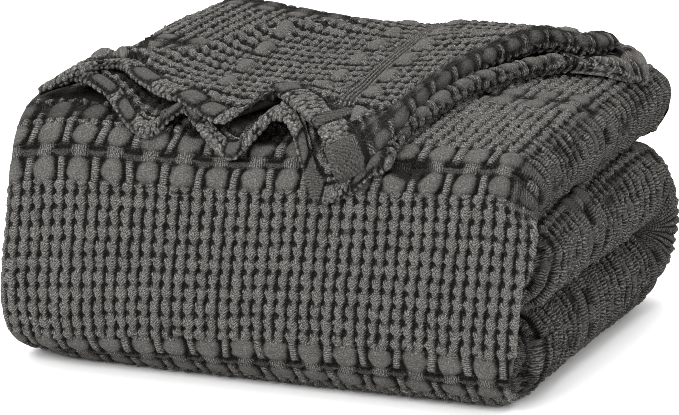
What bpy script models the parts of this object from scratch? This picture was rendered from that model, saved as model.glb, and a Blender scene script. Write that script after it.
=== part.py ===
"""A waffle weave cotton blanket, folded up for the shelf, as one solid of folded cloth.

The cloth is first folded into a long strip, six layers deep, whose folds run front to back. The
strip is then rolled over twice: its middle run lies inside, the lower run comes out from under it
round a fold at the back, and the upper run comes over it round one tall fold at the front. A loose
corner of the cloth, two layers with frilled hems, lies spread over the top.

Metres, +Z up. The front of the stack faces -Y, and it rests on z = 0.
"""

import bisect
import math

import bmesh
import bpy

# Sizes of the folded stack, without the loose corner on top.
DEPTH = 0.318
HEIGHT = 0.177
RUN_GAP = 0.0010

# The strip: layers from its outer side to its inner side, each two or three plies of cloth.
LAYERS = 6
LAYER_GAP = 0.0009
STRIP_THICK = (HEIGHT - 2 * RUN_GAP) / 3
LAYER_PITCH = (STRIP_THICK + LAYER_GAP) / LAYERS

# The order in which the one cloth passes through the layers, layer 1 outermost. It starts at a hem
# on the left and turns back at the right and left sides in turn.
CLOTH_ORDER = (6, 1, 2, 5, 4, 3)

# Points across a run, between its side folds, as shares of that width.
ACROSS = (0.0, 0.07, 0.25, 0.5, 0.75, 1.0)

# Segments round a side fold, by how many layers lie inside that face of it.
FOLD_SEGMENTS = (2, 4, 6, 8)

# What brings the middle of the whole blanket over the origin.
CENTRE = (-0.00007, 0.00084)

# Height of each run, where it starts and ends.
LOWER = (0.0, STRIP_THICK)
MIDDLE = (STRIP_THICK + RUN_GAP, 2 * STRIP_THICK + RUN_GAP)
UPPER = (2 * STRIP_THICK + 2 * RUN_GAP, HEIGHT)

# Front and back folds: how far each reaches out of the flat run, outside and inside, and how
# square its outline is (2 is an ellipse).
FRONT_REACH = 0.064
FRONT_INNER_REACH = 0.028
FRONT_LOW_SQUARE = 3.4
FRONT_HIGH_SQUARE = 2.5
FRONT_INNER_SQUARE = 2.3
BACK_REACH = 0.063
BACK_INNER_REACH = 0.003
BACK_SQUARE = 2.3
FRONT_Y = -DEPTH / 2 + FRONT_REACH
BACK_Y = DEPTH / 2 - BACK_REACH
UPPER_END_Y = DEPTH / 2 - 0.015
MIDDLE_END_SHARE = 0.80
MIDDLE_END_CLEAR = 0.0012

# Stations along the strip in each stretch: middle run, back fold, lower run, front fold, upper run.
STATIONS = (4, 7, 3, 11, 5)

# How far the side folds reach along the strip. "along" counts the five stretches from 0 to 5.
SIDE_REACH = (
    # along, right, left
    (0.0, 0.182, -0.180),
    (1.0, 0.194, -0.184),
    (1.5, 0.195, -0.182),
    (2.0, 0.185, -0.184),
    (3.0, 0.177, -0.192),
    (3.3, 0.172, -0.194),
    (3.6, 0.169, -0.192),
    (4.0, 0.178, -0.186),
    (4.5, 0.187, -0.178),
    (5.0, 0.190, -0.172),
)

# The stack has settled: its right side is pressed to this share of its height, its left stands
# taller by this share, and its front bellies in and out by this much.
PRESSED = 0.975
LEFT_TALLER = 0.075
LEFT_FROM = -0.02
LEFT_OVER = 0.17
FRONT_BELLY = 0.003
BELLY_RATE = 40.0
FRONT_FROM = 0.02
FRONT_OVER = 0.16

# Gentle waves over the stack. Height waves are shares of the height, the others are in metres.
WAVES = (
    # moves, size, start, radians per metre along x, y and z
    ("height", 0.009, 1.2, 9.0, 11.0, 0.0),
    ("height", 0.009, 1.2, 9.0, -11.0, 0.0),
    ("x", 0.004, 0.6, 0.0, 14.0, 26.0),
    ("y", 0.004, 0.8, 13.0, 0.0, 0.0),
)

# The loose corner on top. Its two layers are laid out on the stack's outer face: "across" is X, and
# "forward" runs from the back of the upper run over its top and down round the front fold. "lift"
# is how high the middle of the cloth stands off the stack.
FLAP_THICK = 0.005
FORWARD_STRETCHES = 1.7
FORWARD_STEPS = 80
LEFT_DROOP = 0.015
LOWER_HEM = (
    # across, forward, lift
    (-0.178, 0.212, 0.010),
    (-0.160, 0.216, 0.011),
    (-0.132, 0.246, 0.008),
    (-0.105, 0.277, 0.005),
    (-0.087, 0.278, 0.005),
    (-0.077, 0.256, 0.014),
    (-0.062, 0.266, 0.010),
    (-0.043, 0.284, 0.005),
    (-0.028, 0.284, 0.005),
    (-0.012, 0.266, 0.014),
    (0.006, 0.272, 0.012),
    (0.018, 0.293, 0.007),
    (0.026, 0.309, 0.005),
    (0.050, 0.303, 0.005),
    (0.078, 0.284, 0.008),
)
LOWER_LEFT = (
    (-0.178, 0.212, 0.010),
    (-0.178, 0.120, 0.006),
    (-0.152, 0.000, 0.005),
)
LOWER_ROLL = (
    (0.078, 0.284, 0.008),
    (0.089, 0.230, 0.009),
    (0.092, 0.165, 0.009),
    (0.103, 0.115, 0.009),
    (0.128, 0.070, 0.010),
    (0.172, 0.054, 0.014),
    (0.183, 0.034, 0.013),
    (0.154, 0.000, 0.005),
)
UPPER_HEM = (
    (-0.148, 0.172, 0.018),
    (-0.122, 0.222, 0.017),
    (-0.090, 0.248, 0.018),
    (-0.072, 0.250, 0.020),
    (-0.052, 0.264, 0.016),
    (-0.038, 0.262, 0.017),
    (-0.025, 0.251, 0.021),
    (-0.009, 0.242, 0.025),
    (0.007, 0.251, 0.023),
    (0.022, 0.270, 0.018),
    (0.036, 0.288, 0.014),
    (0.047, 0.302, 0.013),
)
UPPER_LEFT = (
    (-0.148, 0.172, 0.018),
    (-0.164, 0.100, 0.014),
    (-0.150, 0.000, 0.012),
)
UPPER_ROLL = (
    (0.047, 0.302, 0.013),
    (0.068, 0.288, 0.016),
    (0.084, 0.262, 0.017),
    (0.084, 0.200, 0.018),
    (0.088, 0.120, 0.019),
    (0.105, 0.070, 0.026),
    (0.136, 0.038, 0.023),
    (0.138, 0.000, 0.017),
)

LOWER_EDGES = (LOWER_HEM, LOWER_LEFT, LOWER_ROLL)
UPPER_EDGES = (UPPER_HEM, UPPER_LEFT, UPPER_ROLL)

# Inside its edges a flap layer lies flat, at this lift. Its frills die away over this length, and
# its right edge rises to the roll over this width of the flap.
LOWER_REST = 0.0048
UPPER_REST = 0.0118
FRILL_LENGTH = 0.060
FLAP_WIDTH = 0.250
LOWER_RISE = 0.024
UPPER_RISE = 0.100

# At the back each flap layer turns down over the end of the upper run and goes into one layer of
# the strip: which one, and how far the turn stands out behind.
LOWER_JOIN = {"layer": 2, "reach": 0.0065}
UPPER_JOIN = {"layer": 4, "reach": 0.0125}
JOIN_DEPTH = 0.007
TURN_STEPS = 4

# The rolled right edge of a flap layer: its radius and where the rows of points fall across it.
ROLL_RADIUS = 0.0060
ROLL_ROWS = (2.1, 1.6, 1.0, 0.4, 0.05)
FLAP_COLUMNS = 26
FLAP_ROWS = (0.0, 0.06, 0.15, 0.28, 0.45, 0.70, 1.0)

# The left ends of the layers are drawn together, over this width, to this share of their depth,
# towards a place nearer their outer side.
DRAWN_IN_WIDTH = 0.035
DRAWN_IN_SHARE = 0.74
DRAWN_IN_TO = 0.25


def clamp(value, low=0.0, high=1.0):
    return min(max(value, low), high)


def ease(value):
    """Rises smoothly from 0 to 1 as value does."""
    value = clamp(value)
    return value * value * (3 - 2 * value)


def table_value(table, column, spot, eased=False):
    """A column of a table at a spot along it, straight from row to row or eased."""
    rows = [row[0] for row in table]
    k = min(max(bisect.bisect_right(rows, spot) - 1, 0), len(table) - 2)
    share = (spot - rows[k]) / (rows[k + 1] - rows[k])
    if eased:
        share = ease(share)
    return table[k][column] * (1 - share) + table[k + 1][column] * share


def round_share(angle, square):
    """(out, up) of a rounded outline of this squareness, where angle 0 points straight out."""
    out, up = math.cos(angle), math.sin(angle)
    size = (abs(out) ** square + abs(up) ** square) ** (-1 / square)
    return out * size, up * size


def strip_guides(along):
    """The outer and inner faces of the strip at this place along it, each as (y, z)."""
    stretch = min(int(along), 4)
    share = along - stretch
    middle_z = (MIDDLE[0] + MIDDLE[1]) / 2
    if stretch == 0:
        end = FRONT_Y - MIDDLE_END_SHARE * (FRONT_INNER_REACH - MIDDLE_END_CLEAR)
        y = end + (BACK_Y - end) * share
        into = clamp((FRONT_Y - y) / (FRONT_INNER_REACH - MIDDLE_END_CLEAR))
        half = STRIP_THICK / 2 * (1 - into**FRONT_INNER_SQUARE) ** (1 / FRONT_INNER_SQUARE)
        return (y, middle_z + half), (y, middle_z - half)
    if stretch == 1:
        angle = math.pi * (0.5 - share)
        out, up = round_share(angle, BACK_SQUARE)
        centre = MIDDLE[1] / 2
        outer = (BACK_Y + BACK_REACH * out, centre + centre * up)
        centre = (LOWER[1] + MIDDLE[0]) / 2
        inner = (BACK_Y + BACK_INNER_REACH * math.cos(angle), centre + RUN_GAP / 2 * math.sin(angle))
        return outer, inner
    if stretch == 2:
        y = BACK_Y + (FRONT_Y - BACK_Y) * share
        return (y, LOWER[0]), (y, LOWER[1])
    if stretch == 3:
        angle = math.pi * (share - 0.5)
        out, up = round_share(angle, FRONT_LOW_SQUARE if angle < 0 else FRONT_HIGH_SQUARE)
        outer = (FRONT_Y - FRONT_REACH * out, HEIGHT / 2 + HEIGHT / 2 * up)
        out, up = round_share(angle, FRONT_INNER_SQUARE)
        half = (UPPER[0] - LOWER[1]) / 2
        inner = (FRONT_Y - FRONT_INNER_REACH * out, middle_z + half * up)
        return outer, inner
    y = FRONT_Y + (UPPER_END_Y - FRONT_Y) * share
    return (y, UPPER[1]), (y, UPPER[0])


def layer_middle(layer):
    """Depth of the middle of a layer below the strip's outer face."""
    return (layer - 0.5) * LAYER_PITCH - LAYER_GAP / 2


def cloth_section():
    """The two faces of the folded cloth across the strip, as (place across, width added, depth,
    progress).

    Place across is a share of the flat width, width added is in metres beyond it, round a side
    fold, and depth is a share of the strip's thickness from its outer side. Progress counts the
    layers and folds passed, so that points of the two faces can be matched.
    """
    half_layer = (LAYER_PITCH - LAYER_GAP) / 2

    def face(side):
        points = []
        for step, layer in enumerate(CLOTH_ORDER):
            heading = 1 if step % 2 == 0 else -1
            depth = layer_middle(layer) + side * heading * half_layer
            shares = ACROSS[::heading]
            for k, share in enumerate(shares):
                points.append((share, 0.0, depth / STRIP_THICK, 2 * step + k / (len(shares) - 1)))
            if step == LAYERS - 1:
                break
            following = CLOTH_ORDER[step + 1]
            centre = (layer_middle(layer) + layer_middle(following)) / 2
            radius = abs(depth - centre)
            start = math.copysign(1, depth - centre)
            count = FOLD_SEGMENTS[round(radius / LAYER_PITCH)]
            for k in range(1, count):
                angle = start * math.pi * (0.5 - k / count)
                points.append(
                    (
                        shares[-1],
                        heading * radius * math.cos(angle),
                        (centre + radius * math.sin(angle)) / STRIP_THICK,
                        2 * step + 1 + k / count,
                    )
                )
        return points

    return face(1), face(-1)


def waves(moves, x, y, z):
    """The sum of the gentle waves that move this."""
    return sum(
        size * math.sin(start + along_x * x + along_y * y + along_z * z)
        for what, size, start, along_x, along_y, along_z in WAVES
        if what == moves
    )


def settle(x, y, z):
    """The soft unevenness of the whole stack: it stays flat where it rests."""
    left = ease((LEFT_FROM - x) / LEFT_OVER)
    front = ease((FRONT_FROM - y) / FRONT_OVER)
    rise = PRESSED + LEFT_TALLER * left + waves("height", x, y, z)
    lift = clamp(z / HEIGHT)
    belly = FRONT_BELLY * math.sin(BELLY_RATE * z) * front
    shift_x = lift * waves("x", x, y, z)
    shift_y = lift * waves("y", x, y, z) - belly
    return x + shift_x - CENTRE[0], y + shift_y - CENTRE[1], z * rise


def fold_ends(along):
    """Where the flat part of the strip ends, left and right, before its side folds."""
    right, left = (table_value(SIDE_REACH, column, along, eased=True) for column in (1, 2))
    return left + LAYER_PITCH, right - STRIP_THICK / 2


def place(along, x, depth, behind=0.0):
    """A point of the folded strip: depth is 0 on its outer face, 1 on its inner, less than 0 outside."""
    left = fold_ends(along)[0]
    drawn = ease((left + DRAWN_IN_WIDTH - x) / DRAWN_IN_WIDTH)
    depth = DRAWN_IN_TO + (depth - DRAWN_IN_TO) * (1 - (1 - DRAWN_IN_SHARE) * drawn)
    outer, inner = strip_guides(along)
    y = outer[0] + (inner[0] - outer[0]) * depth
    z = outer[1] + (inner[1] - outer[1]) * depth
    return settle(x, y + behind, z)


def stack_point(along, section_point):
    """A point of the cloth's section, at this place along the strip."""
    share, added, depth, _ = section_point
    left, right = fold_ends(along)
    return place(along, left + (right - left) * share + added, depth)


def forward_table():
    """(distance forward, place along) over the upper run and down the front fold."""
    rows = [(0.0, 5.0)]
    for k in range(1, FORWARD_STEPS + 1):
        distance, before = rows[-1]
        along = 5.0 - FORWARD_STRETCHES * k / FORWARD_STEPS
        distance += math.dist(strip_guides(along)[0], strip_guides(before)[0])
        rows.append((distance, along))
    return rows


FORWARD = forward_table()


def round_drop(past, radius):
    """How far a round edge of this radius has fallen away, past the end of the flat."""
    return radius - math.sqrt(max(radius**2 - max(past, 0.0) ** 2, 0.0))


def outside(x, forward, lift):
    """A point that stands off the outer face of the stack, following its top and its right fold."""
    along = table_value(FORWARD, 1, max(forward, 0.0))
    outer, inner = strip_guides(along)
    left, right = fold_ends(along)
    drop = round_drop(x - right, STRIP_THICK / 2) + round_drop(left - x, LEFT_DROOP)
    return place(along, x, (drop - lift) / math.dist(outer, inner))


def curve_point(rows, share):
    """A point at a share of the way along a smooth curve through rows of numbers."""
    steps = [math.dist(a[:2], b[:2]) for a, b in zip(rows, rows[1:])]
    knots = [sum(steps[:k]) / sum(steps) for k in range(len(rows))]
    k = min(max(bisect.bisect_right(knots, share) - 1, 0), len(rows) - 2)
    gap = knots[k + 1] - knots[k]
    t = (share - knots[k]) / gap

    def slope(i, axis):
        before, after = max(i - 1, 0), min(i + 1, len(rows) - 1)
        return (rows[after][axis] - rows[before][axis]) / (knots[after] - knots[before]) * gap

    ahead = t * t * (3 - 2 * t)
    return [
        rows[k][axis] * (1 - ahead)
        + rows[k + 1][axis] * ahead
        + slope(k, axis) * t * (1 - t) ** 2
        - slope(k + 1, axis) * t * t * (1 - t)
        for axis in range(3)
    ]


def flap_spot(hem, left, roll, rest, rise, u, v):
    """(across, forward, lift) at a share u from left to right and v from the hem to the back."""
    front, side_l, side_r = curve_point(hem, u), curve_point(left, v), curve_point(roll, v)
    back = [left[-1][axis] * (1 - u) + roll[-1][axis] * u for axis in range(3)]
    spot = [
        (1 - v) * front[axis]
        + v * back[axis]
        + (1 - u) * side_l[axis]
        + u * side_r[axis]
        - (1 - u) * (1 - v) * hem[0][axis]
        - u * (1 - v) * hem[-1][axis]
        - (1 - u) * v * left[-1][axis]
        - u * v * roll[-1][axis]
        for axis in range(3)
    ]
    length = max(front[1] - back[1], FRILL_LENGTH)
    frill = 1 - ease(v * length / FRILL_LENGTH)
    edge = ease(1 - (1 - u) * FLAP_WIDTH / rise)
    lift = rest + (front[2] - rest) * frill + (side_r[2] - rest) * edge * (1 - frill)
    return spot[0], spot[1], lift


def flap_solid(name, hem, left, roll, rest, rise, join):
    """One layer of the loose corner, from its frilled hem to where it goes into the strip."""
    edge = 1 - ROLL_ROWS[0] * ROLL_RADIUS / FLAP_WIDTH
    columns = [edge * k / FLAP_COLUMNS for k in range(FLAP_COLUMNS)]
    columns += [1 - row * ROLL_RADIUS / FLAP_WIDTH for row in ROLL_ROWS]

    def half_thick(u):
        out = (1 - u) * FLAP_WIDTH
        roll_half = math.sqrt(max(ROLL_RADIUS**2 - (out - ROLL_RADIUS) ** 2, 0.0))
        return roll_half if out < ROLL_RADIUS else max(roll_half, FLAP_THICK / 2)

    def faces_at(u):
        half = half_thick(u)
        spots = [flap_spot(hem, left, roll, rest, rise, u, v) for v in FLAP_ROWS]
        rows = [[outside(x, t, lift + side * half) for side in (1, -1)] for x, t, lift in spots]
        x, _, lift = spots[-1]
        half = min(half, FLAP_THICK / 2)
        start = -lift / STRIP_THICK
        end = layer_middle(join["layer"]) / STRIP_THICK
        for k in range(1, TURN_STEPS + 1):
            angle = math.pi * k / TURN_STEPS
            row = []
            for side in (1, -1):
                tall = (end - start) / 2 + side * half / STRIP_THICK
                deep = join["reach"] + side * half
                depth = (start + end) / 2 - tall * math.cos(angle)
                row.append(place(5.0, x, depth, deep * math.sin(angle)))
            rows.append(row)
        last = [place(5.0, x, end + side * half / STRIP_THICK, -JOIN_DEPTH) for side in (1, -1)]
        return rows + [last]

    stations = []
    for u in columns:
        rows = faces_at(u)
        stations.append([[row[side] for row in rows] for side in (0, 1)])
    return loft(name, stations, [range(len(face)) for face in stations[0]])


def zip_cap(shape, rows, progress):
    """Fills the narrow space between two rows of points, from one end to the other."""
    one, other = rows
    i, j = 0, 0
    while i < len(one) - 1 or j < len(other) - 1:
        step_one = j == len(other) - 1
        if i < len(one) - 1 and not step_one:
            step_one = progress[0][i + 1] <= progress[1][j + 1]
        following = one[i + 1] if step_one else other[j + 1]
        shape.faces.new((one[i], following, other[j]))
        i, j = (i + 1, j) if step_one else (i, j + 1)


def join_four(shape, corners):
    """Two triangles over four corners, split the same way on layers that lie on one another."""
    a, b, c, d = corners if corners[0].co.x < corners[1].co.x else corners[1:] + corners[:1]
    shape.faces.new((a, b, c))
    shape.faces.new((a, c, d))


def loft(name, stations, progress):
    """A closed mesh through stations along a strip of cloth, each the points of its two faces.

    Progress says how far round the section each point of the two faces is.
    """
    shape = bmesh.new()
    rows = []
    for faces in stations:
        rows.append([[shape.verts.new(point) for point in face] for face in faces])
    for here, there in zip(rows, rows[1:]):
        ring, following = here[0] + here[1][::-1], there[0] + there[1][::-1]
        for k in range(len(ring)):
            join_four(shape, (ring[k - 1], ring[k], following[k], following[k - 1]))
    for end in (rows[0], rows[-1]):
        zip_cap(shape, end, progress)
    bmesh.ops.recalc_face_normals(shape, faces=shape.faces)
    mesh = bpy.data.meshes.new(name)
    shape.to_mesh(mesh)
    shape.free()
    return bpy.data.objects.new(name, mesh)


def stack_stations():
    """Places along the strip, closer together round its folds."""
    places = []
    for stretch, count in enumerate(STATIONS):
        places += [stretch + k / count for k in range(count)]
    return places + [len(STATIONS)]


def clear_scene():
    for thing in list(bpy.data.objects):
        bpy.data.objects.remove(thing, do_unlink=True)


def cotton_material():
    """Stonewashed charcoal cotton."""
    material = bpy.data.materials.new("charcoal_cotton")
    material.use_nodes = True
    surface = material.node_tree.nodes["Principled BSDF"]
    surface.inputs["Base Color"].default_value = (0.105, 0.102, 0.094, 1.0)
    surface.inputs["Roughness"].default_value = 0.95
    surface.inputs["Metallic"].default_value = 0.0
    return material


def main():
    clear_scene()
    pieces = bpy.data.collections.new("folded_blanket")
    joined = bpy.data.collections.new("joined_in")
    bpy.context.scene.collection.children.link(pieces)
    bpy.context.scene.collection.children.link(joined)
    section = cloth_section()
    stations = [
        [[stack_point(along, point) for point in face] for face in section]
        for along in stack_stations()
    ]
    progress = [[point[-1] for point in face] for face in section]
    blanket = loft("blanket", stations, progress)
    blanket.data.materials.append(cotton_material())
    pieces.objects.link(blanket)
    flaps = (
        flap_solid("lower_flap", *LOWER_EDGES, LOWER_REST, LOWER_RISE, LOWER_JOIN),
        flap_solid("upper_flap", *UPPER_EDGES, UPPER_REST, UPPER_RISE, UPPER_JOIN),
    )
    for flap in flaps:
        joined.objects.link(flap)
        flap.hide_render = True
        flap.display_type = "WIRE"
        union = blanket.modifiers.new("join_" + flap.name, "BOOLEAN")
        union.operation = "UNION"
        union.solver = "EXACT"
        union.object = flap


main()
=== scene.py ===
"""A folded waffle weave cotton blanket on a white studio table.

Metres, +Z up. The front of the folded stack faces -Y.
"""

import math

import bpy
import numpy as np
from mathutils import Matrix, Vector


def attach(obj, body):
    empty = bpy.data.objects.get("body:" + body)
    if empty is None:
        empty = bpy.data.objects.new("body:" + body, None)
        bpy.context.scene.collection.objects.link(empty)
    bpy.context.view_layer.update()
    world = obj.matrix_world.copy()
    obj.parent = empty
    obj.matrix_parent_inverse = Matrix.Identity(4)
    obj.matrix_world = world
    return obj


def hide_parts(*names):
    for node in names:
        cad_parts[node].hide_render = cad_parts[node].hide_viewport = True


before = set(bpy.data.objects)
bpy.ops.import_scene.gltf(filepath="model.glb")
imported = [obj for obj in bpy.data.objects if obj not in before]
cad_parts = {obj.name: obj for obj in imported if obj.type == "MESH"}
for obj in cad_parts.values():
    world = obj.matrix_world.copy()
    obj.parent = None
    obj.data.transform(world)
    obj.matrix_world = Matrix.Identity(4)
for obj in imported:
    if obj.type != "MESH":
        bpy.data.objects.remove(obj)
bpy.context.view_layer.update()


# ---------------------------------------------------------------- table and studio
# The blanket lies on a white table that runs out of sight, photographed with a long lens from a
# little above and to the right. Three soft boxes and a white room light it.
CAMERA_AZIMUTH = 19.5
CAMERA_ELEVATION = 16.0
CAMERA_DISTANCE = 3.0
CAMERA_AIM = (-0.006, 0.0, 0.088)
IMAGE_WIDTH = 679
FOCAL_PIXELS = 4330.0
SENSOR_WIDTH = 36.0

TABLE_SIZE = 12.0
SOFT_BOXES = (
    # name, place, size, power
    ("key", (-0.70, -2.35, 1.9), 1.4, 88.0),
    ("fill", (2.2, -1.2, 1.2), 1.8, 5.0),
    ("top", (0.1, 0.4, 2.6), 2.2, 58.0),
)
ROOM_LIGHT = 1.35


def direction_from(azimuth, elevation):
    """The unit vector from the blanket towards a viewer."""
    a, e = math.radians(azimuth), math.radians(elevation)
    return np.array((math.sin(a) * math.cos(e), -math.cos(a) * math.cos(e), math.sin(e)))


def aimed(thing, place, target):
    """Puts a camera or light at a place, looking at a target."""
    thing.location = place
    facing = Vector(target) - Vector(place)
    thing.rotation_euler = facing.to_track_quat("-Z", "Y").to_euler()


lens = bpy.data.cameras.new("photo_camera")
lens.sensor_width = SENSOR_WIDTH
lens.lens = FOCAL_PIXELS / IMAGE_WIDTH * SENSOR_WIDTH
camera = bpy.data.objects.new("photo_camera", lens)
bpy.context.scene.collection.objects.link(camera)
towards = direction_from(CAMERA_AZIMUTH, CAMERA_ELEVATION)
aimed(camera, np.array(CAMERA_AIM) + towards * CAMERA_DISTANCE, CAMERA_AIM)
bpy.context.scene.camera = camera

for name, spot, size, power in SOFT_BOXES:
    light = bpy.data.lights.new(name, "AREA")
    light.shape = "SQUARE"
    light.size = size
    light.energy = power
    box = bpy.data.objects.new(name, light)
    bpy.context.scene.collection.objects.link(box)
    aimed(box, spot, (0.0, 0.0, 0.08))

bpy.context.scene.view_settings.view_transform = "Standard"
bpy.context.scene.cycles.filter_width = 1.0
bpy.context.scene.cycles.denoising_prefilter = "NONE"
room = bpy.data.worlds.new("white_room")
bpy.context.scene.world = room
room.use_nodes = True
room.node_tree.nodes["Background"].inputs["Color"].default_value = (1.0, 1.0, 1.0, 1.0)
room.node_tree.nodes["Background"].inputs["Strength"].default_value = ROOM_LIGHT

bpy.ops.object.select_all(action="DESELECT")
bpy.ops.mesh.primitive_plane_add(size=TABLE_SIZE)
table = bpy.context.object
table.name = "table"
table_white = bpy.data.materials.new("table_white")
table_white.use_nodes = True
paint = table_white.node_tree.nodes["Principled BSDF"]
paint.inputs["Base Color"].default_value = (0.92, 0.92, 0.92, 1.0)
paint.inputs["Roughness"].default_value = 0.6
table.data.materials.append(table_white)


# ---------------------------------------------------------------- how the cloth is folded
# The blanket is one cotton cloth folded into a long strip, whose folds run front to back, and the
# strip is rolled over twice: middle run inside, lower run, tall front fold, upper run on top.
DEPTH = 0.318
HEIGHT = 0.177
RUN_GAP = 0.0010
LAYERS = 6
LAYER_GAP = 0.0009
STRIP_THICK = (HEIGHT - 2 * RUN_GAP) / 3
LAYER_PITCH = (STRIP_THICK + LAYER_GAP) / LAYERS
# The middle of the footprint before the stack is moved onto the origin.
CENTRE = (-0.00007, 0.00084)
FRONT_REACH = 0.064
FRONT_INNER_REACH = 0.028
FRONT_LOW_SQUARE = 3.4
FRONT_HIGH_SQUARE = 2.5
FRONT_INNER_SQUARE = 2.3
BACK_REACH = 0.063
BACK_INNER_REACH = 0.003
BACK_SQUARE = 2.3
FRONT_Y = -DEPTH / 2 + FRONT_REACH
BACK_Y = DEPTH / 2 - BACK_REACH
UPPER_END_Y = DEPTH / 2 - 0.015
NOSE_REACH = FRONT_INNER_REACH - 0.0012
MIDDLE_Z = HEIGHT / 2

# How far the side folds reach along the strip, whose five stretches count from 0 to 5: middle run,
# back fold, lower run, front fold, upper run.
UPPER_END = 5.0
SIDE_REACH = (
    # along, right, left
    (0.0, 0.182, -0.180),
    (1.0, 0.194, -0.184),
    (1.5, 0.195, -0.182),
    (2.0, 0.185, -0.184),
    (3.0, 0.177, -0.192),
    (3.3, 0.172, -0.194),
    (3.6, 0.169, -0.192),
    (4.0, 0.178, -0.186),
    (4.5, 0.187, -0.178),
    (UPPER_END, 0.190, -0.172),
)
DRAWN_IN_WIDTH = 0.035
DRAWN_IN_SHARE = 0.74
DRAWN_IN_TO = 0.25

# The stack has settled: pressed at the right, taller at the left, with gentle waves over it. A pair
# such as LEFT_END says where a change starts, and the length that it takes.
PRESSED = 0.975
LEFT_TALLER = 0.075
LEFT_END = (-0.02, 0.17)
FRONT_BELLY = 0.003
BELLY_RATE = 40.0
FRONT_END = (0.02, 0.16)
WAVES = (
    # moves, size, start, radians per metre along x, y and z
    ("height", 0.009, 1.2, 9.0, 11.0, 0.0),
    ("height", 0.009, 1.2, 9.0, -11.0, 0.0),
    ("x", 0.004, 0.6, 0.0, 14.0, 26.0),
    ("y", 0.004, 0.8, 13.0, 0.0, 0.0),
)


def ease(value):
    """Rises smoothly from 0 to 1 as value does."""
    value = np.clip(value, 0.0, 1.0)
    return value * value * (3 - 2 * value)


def rising(value, start, over):
    """0 up to the start, and 1 once past it by this much."""
    return ease((value - start) / over)


def falling(value, start, over):
    """0 from the start on, and 1 once short of it by this much."""
    return ease((start - value) / over)


def from_table(table, column, spot, eased=False):
    """A column of a table at spots along its first column, straight from row to row or eased."""
    rows = np.array([row[0] for row in table])
    values = np.array([row[column] for row in table])
    k = np.clip(np.searchsorted(rows, spot, side="right") - 1, 0, len(rows) - 2)
    share = (spot - rows[k]) / (rows[k + 1] - rows[k])
    if eased:
        share = ease(share)
    return values[k] * (1 - share) + values[k + 1] * share


def round_share(angle, square):
    """(out, up) of a rounded outline of this squareness, where angle 0 points straight out."""
    out, up = np.cos(angle), np.sin(angle)
    size = (np.abs(out) ** square + np.abs(up) ** square) ** (-1 / square)
    return out * size, up * size


def strip_guides(along):
    """y and z of the strip's outer face, then of its inner face, at places along the strip.

    Below 0 the end of the middle run closes to a nose, reached at -1.
    """
    along = np.asarray(along, float)
    stretch = np.clip(np.floor(along), 0, 4)
    share = along - stretch
    wide = np.full(along.shape, STRIP_THICK / 2)

    nose = np.clip(-along, 0.0, 1.0) * math.pi / 2
    out, up = round_share(nose, FRONT_INNER_SQUARE)
    nose_y = FRONT_Y - NOSE_REACH * up
    y0 = FRONT_Y + (BACK_Y - FRONT_Y) * share
    middle = [
        np.where(along < 0, nose_y, y0),
        MIDDLE_Z + wide * np.where(along < 0, out, 1.0),
        np.where(along < 0, nose_y, y0),
        MIDDLE_Z - wide * np.where(along < 0, out, 1.0),
    ]

    angle = math.pi * (0.5 - share)
    out, up = round_share(angle, BACK_SQUARE)
    centre = STRIP_THICK + RUN_GAP / 2
    back = [
        BACK_Y + BACK_REACH * out,
        centre + centre * up,
        BACK_Y + BACK_INNER_REACH * np.cos(angle),
        centre + RUN_GAP / 2 * np.sin(angle),
    ]

    y2 = BACK_Y + (FRONT_Y - BACK_Y) * share
    lower = [y2, 0.0 * y2, y2, 0.0 * y2 + STRIP_THICK]

    angle = math.pi * (share - 0.5)
    square = np.where(angle < 0, FRONT_LOW_SQUARE, FRONT_HIGH_SQUARE)
    out, up = round_share(angle, square)
    inner_out, inner_up = round_share(angle, FRONT_INNER_SQUARE)
    inner_half = (STRIP_THICK + 2 * RUN_GAP) / 2
    front = [
        FRONT_Y - FRONT_REACH * out,
        MIDDLE_Z + MIDDLE_Z * up,
        FRONT_Y - FRONT_INNER_REACH * inner_out,
        MIDDLE_Z + inner_half * inner_up,
    ]

    y4 = FRONT_Y + (UPPER_END_Y - FRONT_Y) * share
    upper = [y4, 0.0 * y4 + HEIGHT, y4, 0.0 * y4 + HEIGHT - STRIP_THICK]

    stretches = (middle, back, lower, front, upper)
    return [
        np.select([stretch == k for k in range(5)], [guide[part] for guide in stretches])
        for part in range(4)
    ]


def waves(moves, x, y, z):
    """The sum of the gentle waves that move this."""
    return sum(
        size * np.sin(start + along_x * x + along_y * y + along_z * z)
        for what, size, start, along_x, along_y, along_z in WAVES
        if what == moves
    )


def settle(x, y, z):
    """The soft unevenness of the whole stack: it stays flat where it rests."""
    left = falling(x, *LEFT_END)
    front = falling(y, *FRONT_END)
    rise = PRESSED + LEFT_TALLER * left + waves("height", x, y, z)
    lift = np.clip(z / HEIGHT, 0.0, 1.0)
    belly = FRONT_BELLY * np.sin(BELLY_RATE * z) * front
    shift_x = lift * waves("x", x, y, z)
    shift_y = lift * waves("y", x, y, z) - belly
    return np.stack((x + shift_x - CENTRE[0], y + shift_y - CENTRE[1], z * rise), axis=-1)


def fold_ends(along):
    """Where the flat part of the strip ends, left and right, before its side folds."""
    right = from_table(SIDE_REACH, 1, along, eased=True)
    left = from_table(SIDE_REACH, 2, along, eased=True)
    return left + LAYER_PITCH, right - STRIP_THICK / 2


def place(along, x, depth, behind=0.0):
    """Points of the strip: depth is 0 on its outer face, 1 on its inner, less than 0 outside."""
    along, x, depth = np.broadcast_arrays(along, x, depth)
    left = fold_ends(along)[0]
    drawn = ease((left + DRAWN_IN_WIDTH - x) / DRAWN_IN_WIDTH)
    depth = DRAWN_IN_TO + (depth - DRAWN_IN_TO) * (1 - (1 - DRAWN_IN_SHARE) * drawn)
    outer_y, outer_z, inner_y, inner_z = strip_guides(along)
    y = outer_y + (inner_y - outer_y) * depth
    z = outer_z + (inner_z - outer_z) * depth
    return settle(x, y + behind, z)


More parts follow.
